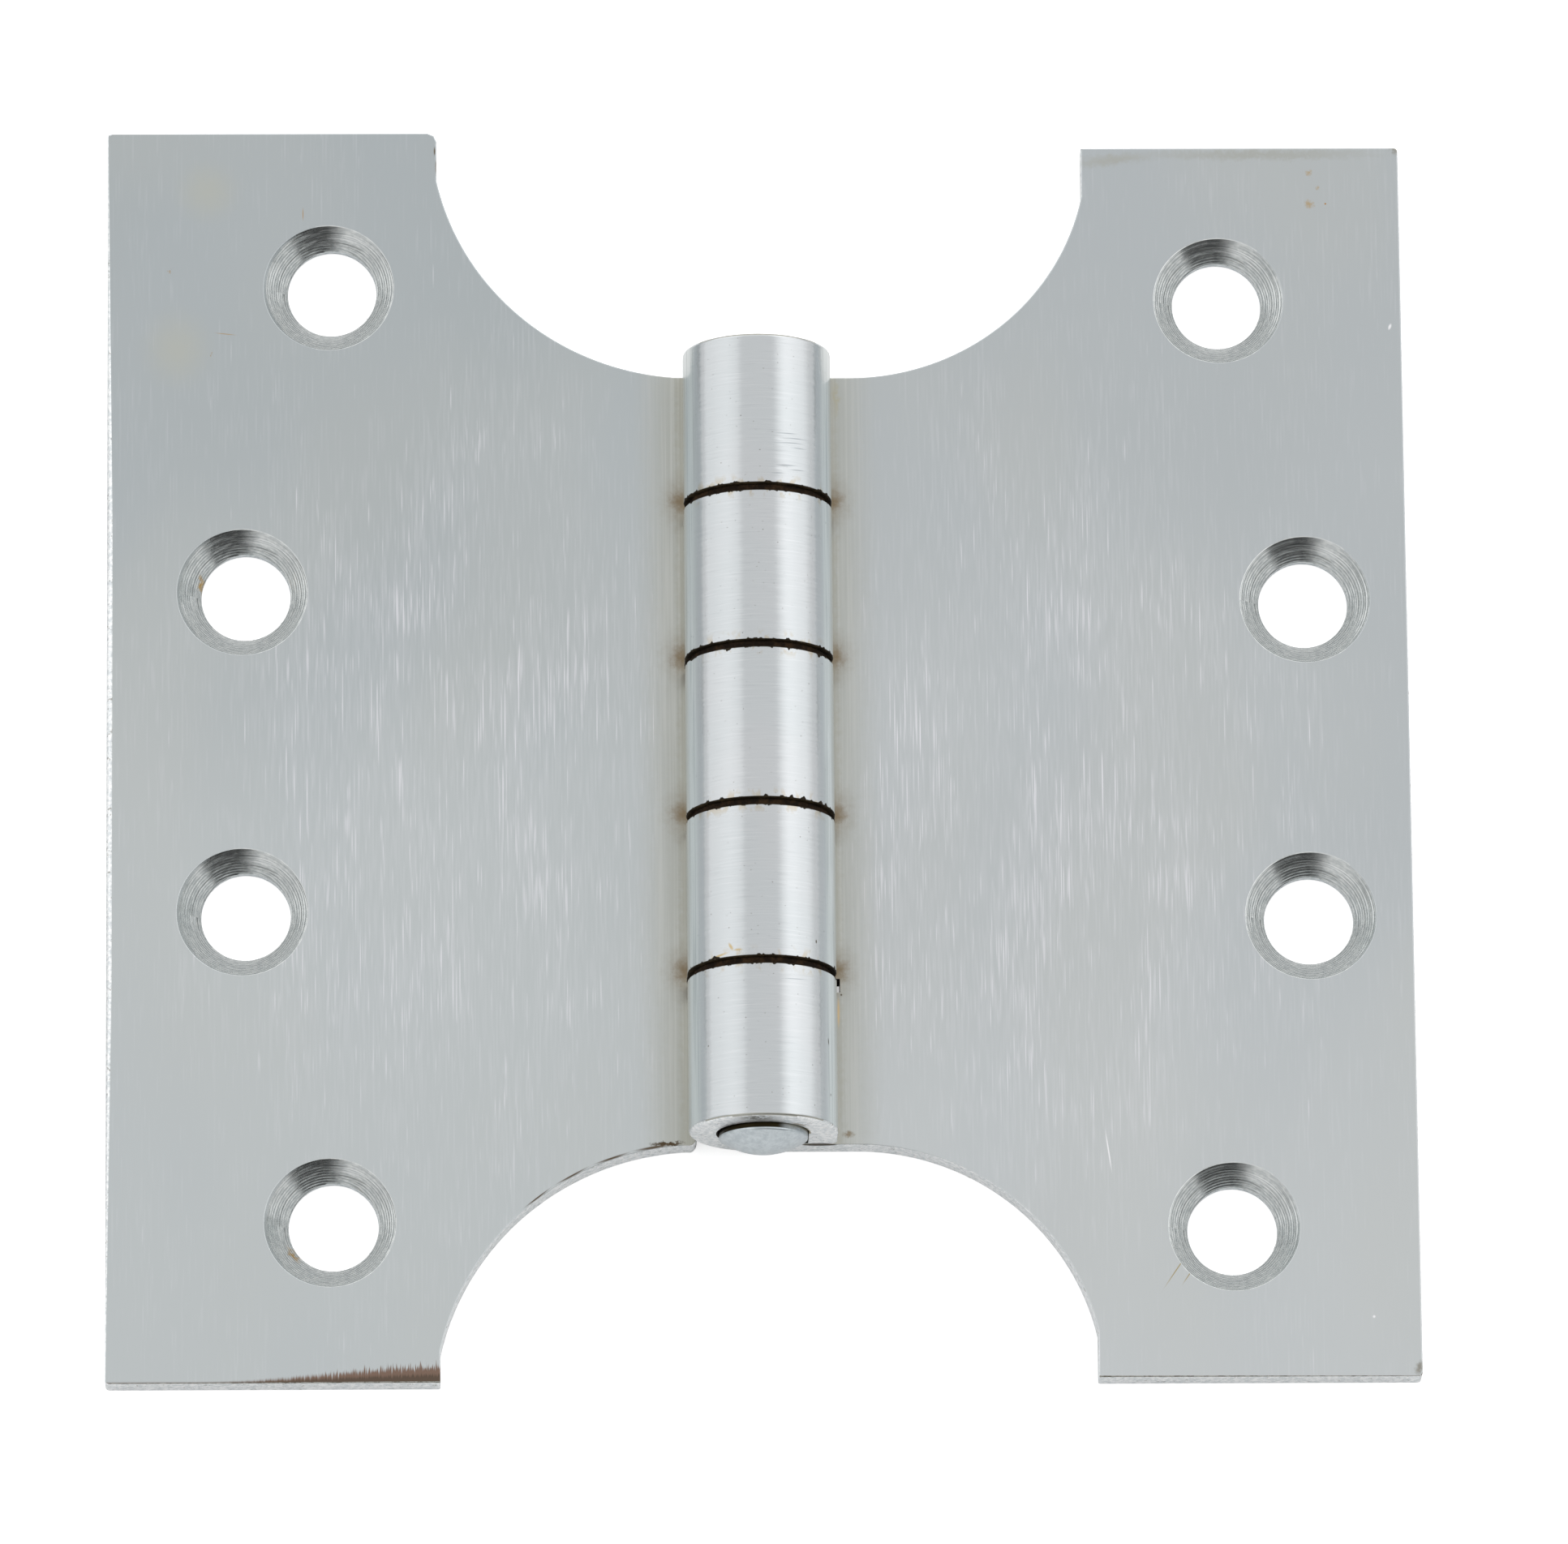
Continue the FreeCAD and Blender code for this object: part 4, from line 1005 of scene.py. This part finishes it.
# Floor: a plain pale sheet under the hinge. What the camera and the metal see of it is
# lifted to white, and it still takes the hinge's shadow.
bpy.ops.object.select_all(action="DESELECT")
bpy.ops.mesh.primitive_plane_add(size=6, location=(0, 0, 0))
floor = bpy.context.object
floor.name = "floor"
paper, tree = new_material("white_paper")
light_path = add_node(tree, "ShaderNodeLightPath").outputs
mirrored = add_node(tree, "ShaderNodeMath", {
    0: light_path["Is Glossy Ray"], 1: 0.05,
}, operation="MULTIPLY")
lift = add_node(tree, "ShaderNodeMath", {
    0: light_path["Is Camera Ray"], 1: 0.5, 2: mirrored,
}, operation="MULTIPLY_ADD")
shader = add_node(tree, "ShaderNodeBsdfPrincipled", {
    "Base Color": "#e8e8e8", "Roughness": 0.9, "Specular IOR Level": 0.0,
    "Emission Color": (1, 1, 1, 1), "Emission Strength": lift,
})
add_node(tree, "ShaderNodeOutputMaterial", {"Surface": shader})
floor.data.materials.append(paper)

# Light: a grey panel overhead and a brighter soft panel low on each side of the pin. In
# front the panels are dimmer, with a dark gap right of the middle, as the knuckles and the
# countersinks show in the photo. The world's Z is up and its Y is along the pin.
LEAN_LIMIT = 110
BRIGHTEST = 2.0
PANELS = [
    (-110, 1.0), (-99, 1.2), (-76, 1.28), (-60, 1.37), (-48, 1.4), (-37, 1.32), (-31, 1.25),
    (-25, 1.01), (25, 1.02), (34, 1.38), (42, 1.6), (52, 1.6), (62, 1.5), (76, 1.4), (86, 1.12),
    (92, 0.95), (110, 0.9),
]
GAP_FROM = (-42, 6)
GAP_TO = (60, 42)
GAP_TOP = (30, 36)
GAP_DARKNESS = 0.95
FRONT_DIMMING = 0.36
world = bpy.data.worlds.new("studio")
bpy.context.scene.world = world
world.use_nodes = True
tree = world.node_tree
tree.nodes.clear()
sideways, lengthways, upwards = add_node(tree, "ShaderNodeSeparateXYZ", {
    0: add_node(tree, "ShaderNodeTexCoord").outputs["Generated"],
}).outputs
lean = add_node(tree, "ShaderNodeMath", {0: sideways, 1: upwards}, operation="ARCTAN2")
lean_share = add_node(tree, "ShaderNodeMapRange", {
    "Value": lean, "From Min": math.radians(-LEAN_LIMIT), "From Max": math.radians(LEAN_LIMIT),
})
panels = add_node(tree, "ShaderNodeValToRGB", {0: lean_share})
stops = panels.color_ramp.elements
while len(stops) < len(PANELS):
    stops.new(0.5)
for stop, (angle, radiance) in zip(stops, PANELS):
    stop.position = (angle + LEAN_LIMIT) / (2 * LEAN_LIMIT)
    stop.color = (radiance / BRIGHTEST,) * 3 + (1,)
side_panel = add_node(tree, "ShaderNodeMath", {0: panels, 1: BRIGHTEST}, operation="MULTIPLY")
back_panel = add_node(tree, "ShaderNodeMapRange", {
    "Value": lengthways, "From Min": 0.5, "From Max": 0.8, "To Min": 1.0, "To Max": 1.3,
}, interpolation_type="SMOOTHSTEP")
toward_front = add_node(tree, "ShaderNodeMath", {0: lengthways, 1: -1.0}, operation="MULTIPLY")
bearing = add_node(tree, "ShaderNodeMath", {0: sideways, 1: toward_front}, operation="ARCTAN2")
gap_from = add_node(tree, "ShaderNodeMapRange", {
    "Value": bearing, "From Min": math.radians(GAP_FROM[0]), "From Max": math.radians(GAP_FROM[1]),
}, interpolation_type="SMOOTHSTEP")
gap_across = add_node(tree, "ShaderNodeMapRange", {
    "Value": bearing, "From Min": math.radians(GAP_TO[0]), "From Max": math.radians(GAP_TO[1]),
    "To Max": gap_from,
}, interpolation_type="SMOOTHSTEP")
front = add_node(tree, "ShaderNodeMapRange", {
    "Value": lengthways, "From Min": 0.15, "From Max": -0.3, "To Max": FRONT_DIMMING,
}, interpolation_type="SMOOTHSTEP")
dimming = add_node(tree, "ShaderNodeMath", {0: gap_across, 1: front}, operation="MAXIMUM")
low_down = add_node(tree, "ShaderNodeMapRange", {
    "Value": upwards,
    "From Min": math.sin(math.radians(GAP_TOP[0])), "From Max": math.sin(math.radians(GAP_TOP[1])),
    "To Min": 1.0, "To Max": 0.0,
}, interpolation_type="SMOOTHSTEP")
dim_below = add_node(tree, "ShaderNodeMath", {0: dimming, 1: low_down}, operation="MULTIPLY")
left_over = add_node(tree, "ShaderNodeMath", {
    0: dim_below, 1: -GAP_DARKNESS, 2: 1.0,
}, operation="MULTIPLY_ADD")
panels_lit = add_node(tree, "ShaderNodeMath", {0: side_panel, 1: back_panel}, operation="MULTIPLY")
studio = add_node(tree, "ShaderNodeMath", {0: panels_lit, 1: left_over}, operation="MULTIPLY")
seen_white = add_node(tree, "ShaderNodeMix", {
    0: add_node(tree, "ShaderNodeLightPath").outputs["Is Camera Ray"], 2: studio, 3: 1.0,
})
background = add_node(tree, "ShaderNodeBackground", {"Color": (1, 1, 1, 1), "Strength": seen_white})
add_node(tree, "ShaderNodeOutputWorld", {"Surface": background})

# Camera: a long lens almost straight above, leaning towards the lower end of the pin.
bpy.ops.object.camera_add(
    location=(-0.02814, -0.33859, 1.19),
    rotation=[math.radians(a) for a in (15.84, -1.30, -0.534)],
)
camera = bpy.context.object
camera.data.sensor_width = 36
camera.data.lens = 362.57
bpy.context.scene.camera = camera
bpy.context.scene.view_settings.view_transform = "Standard"
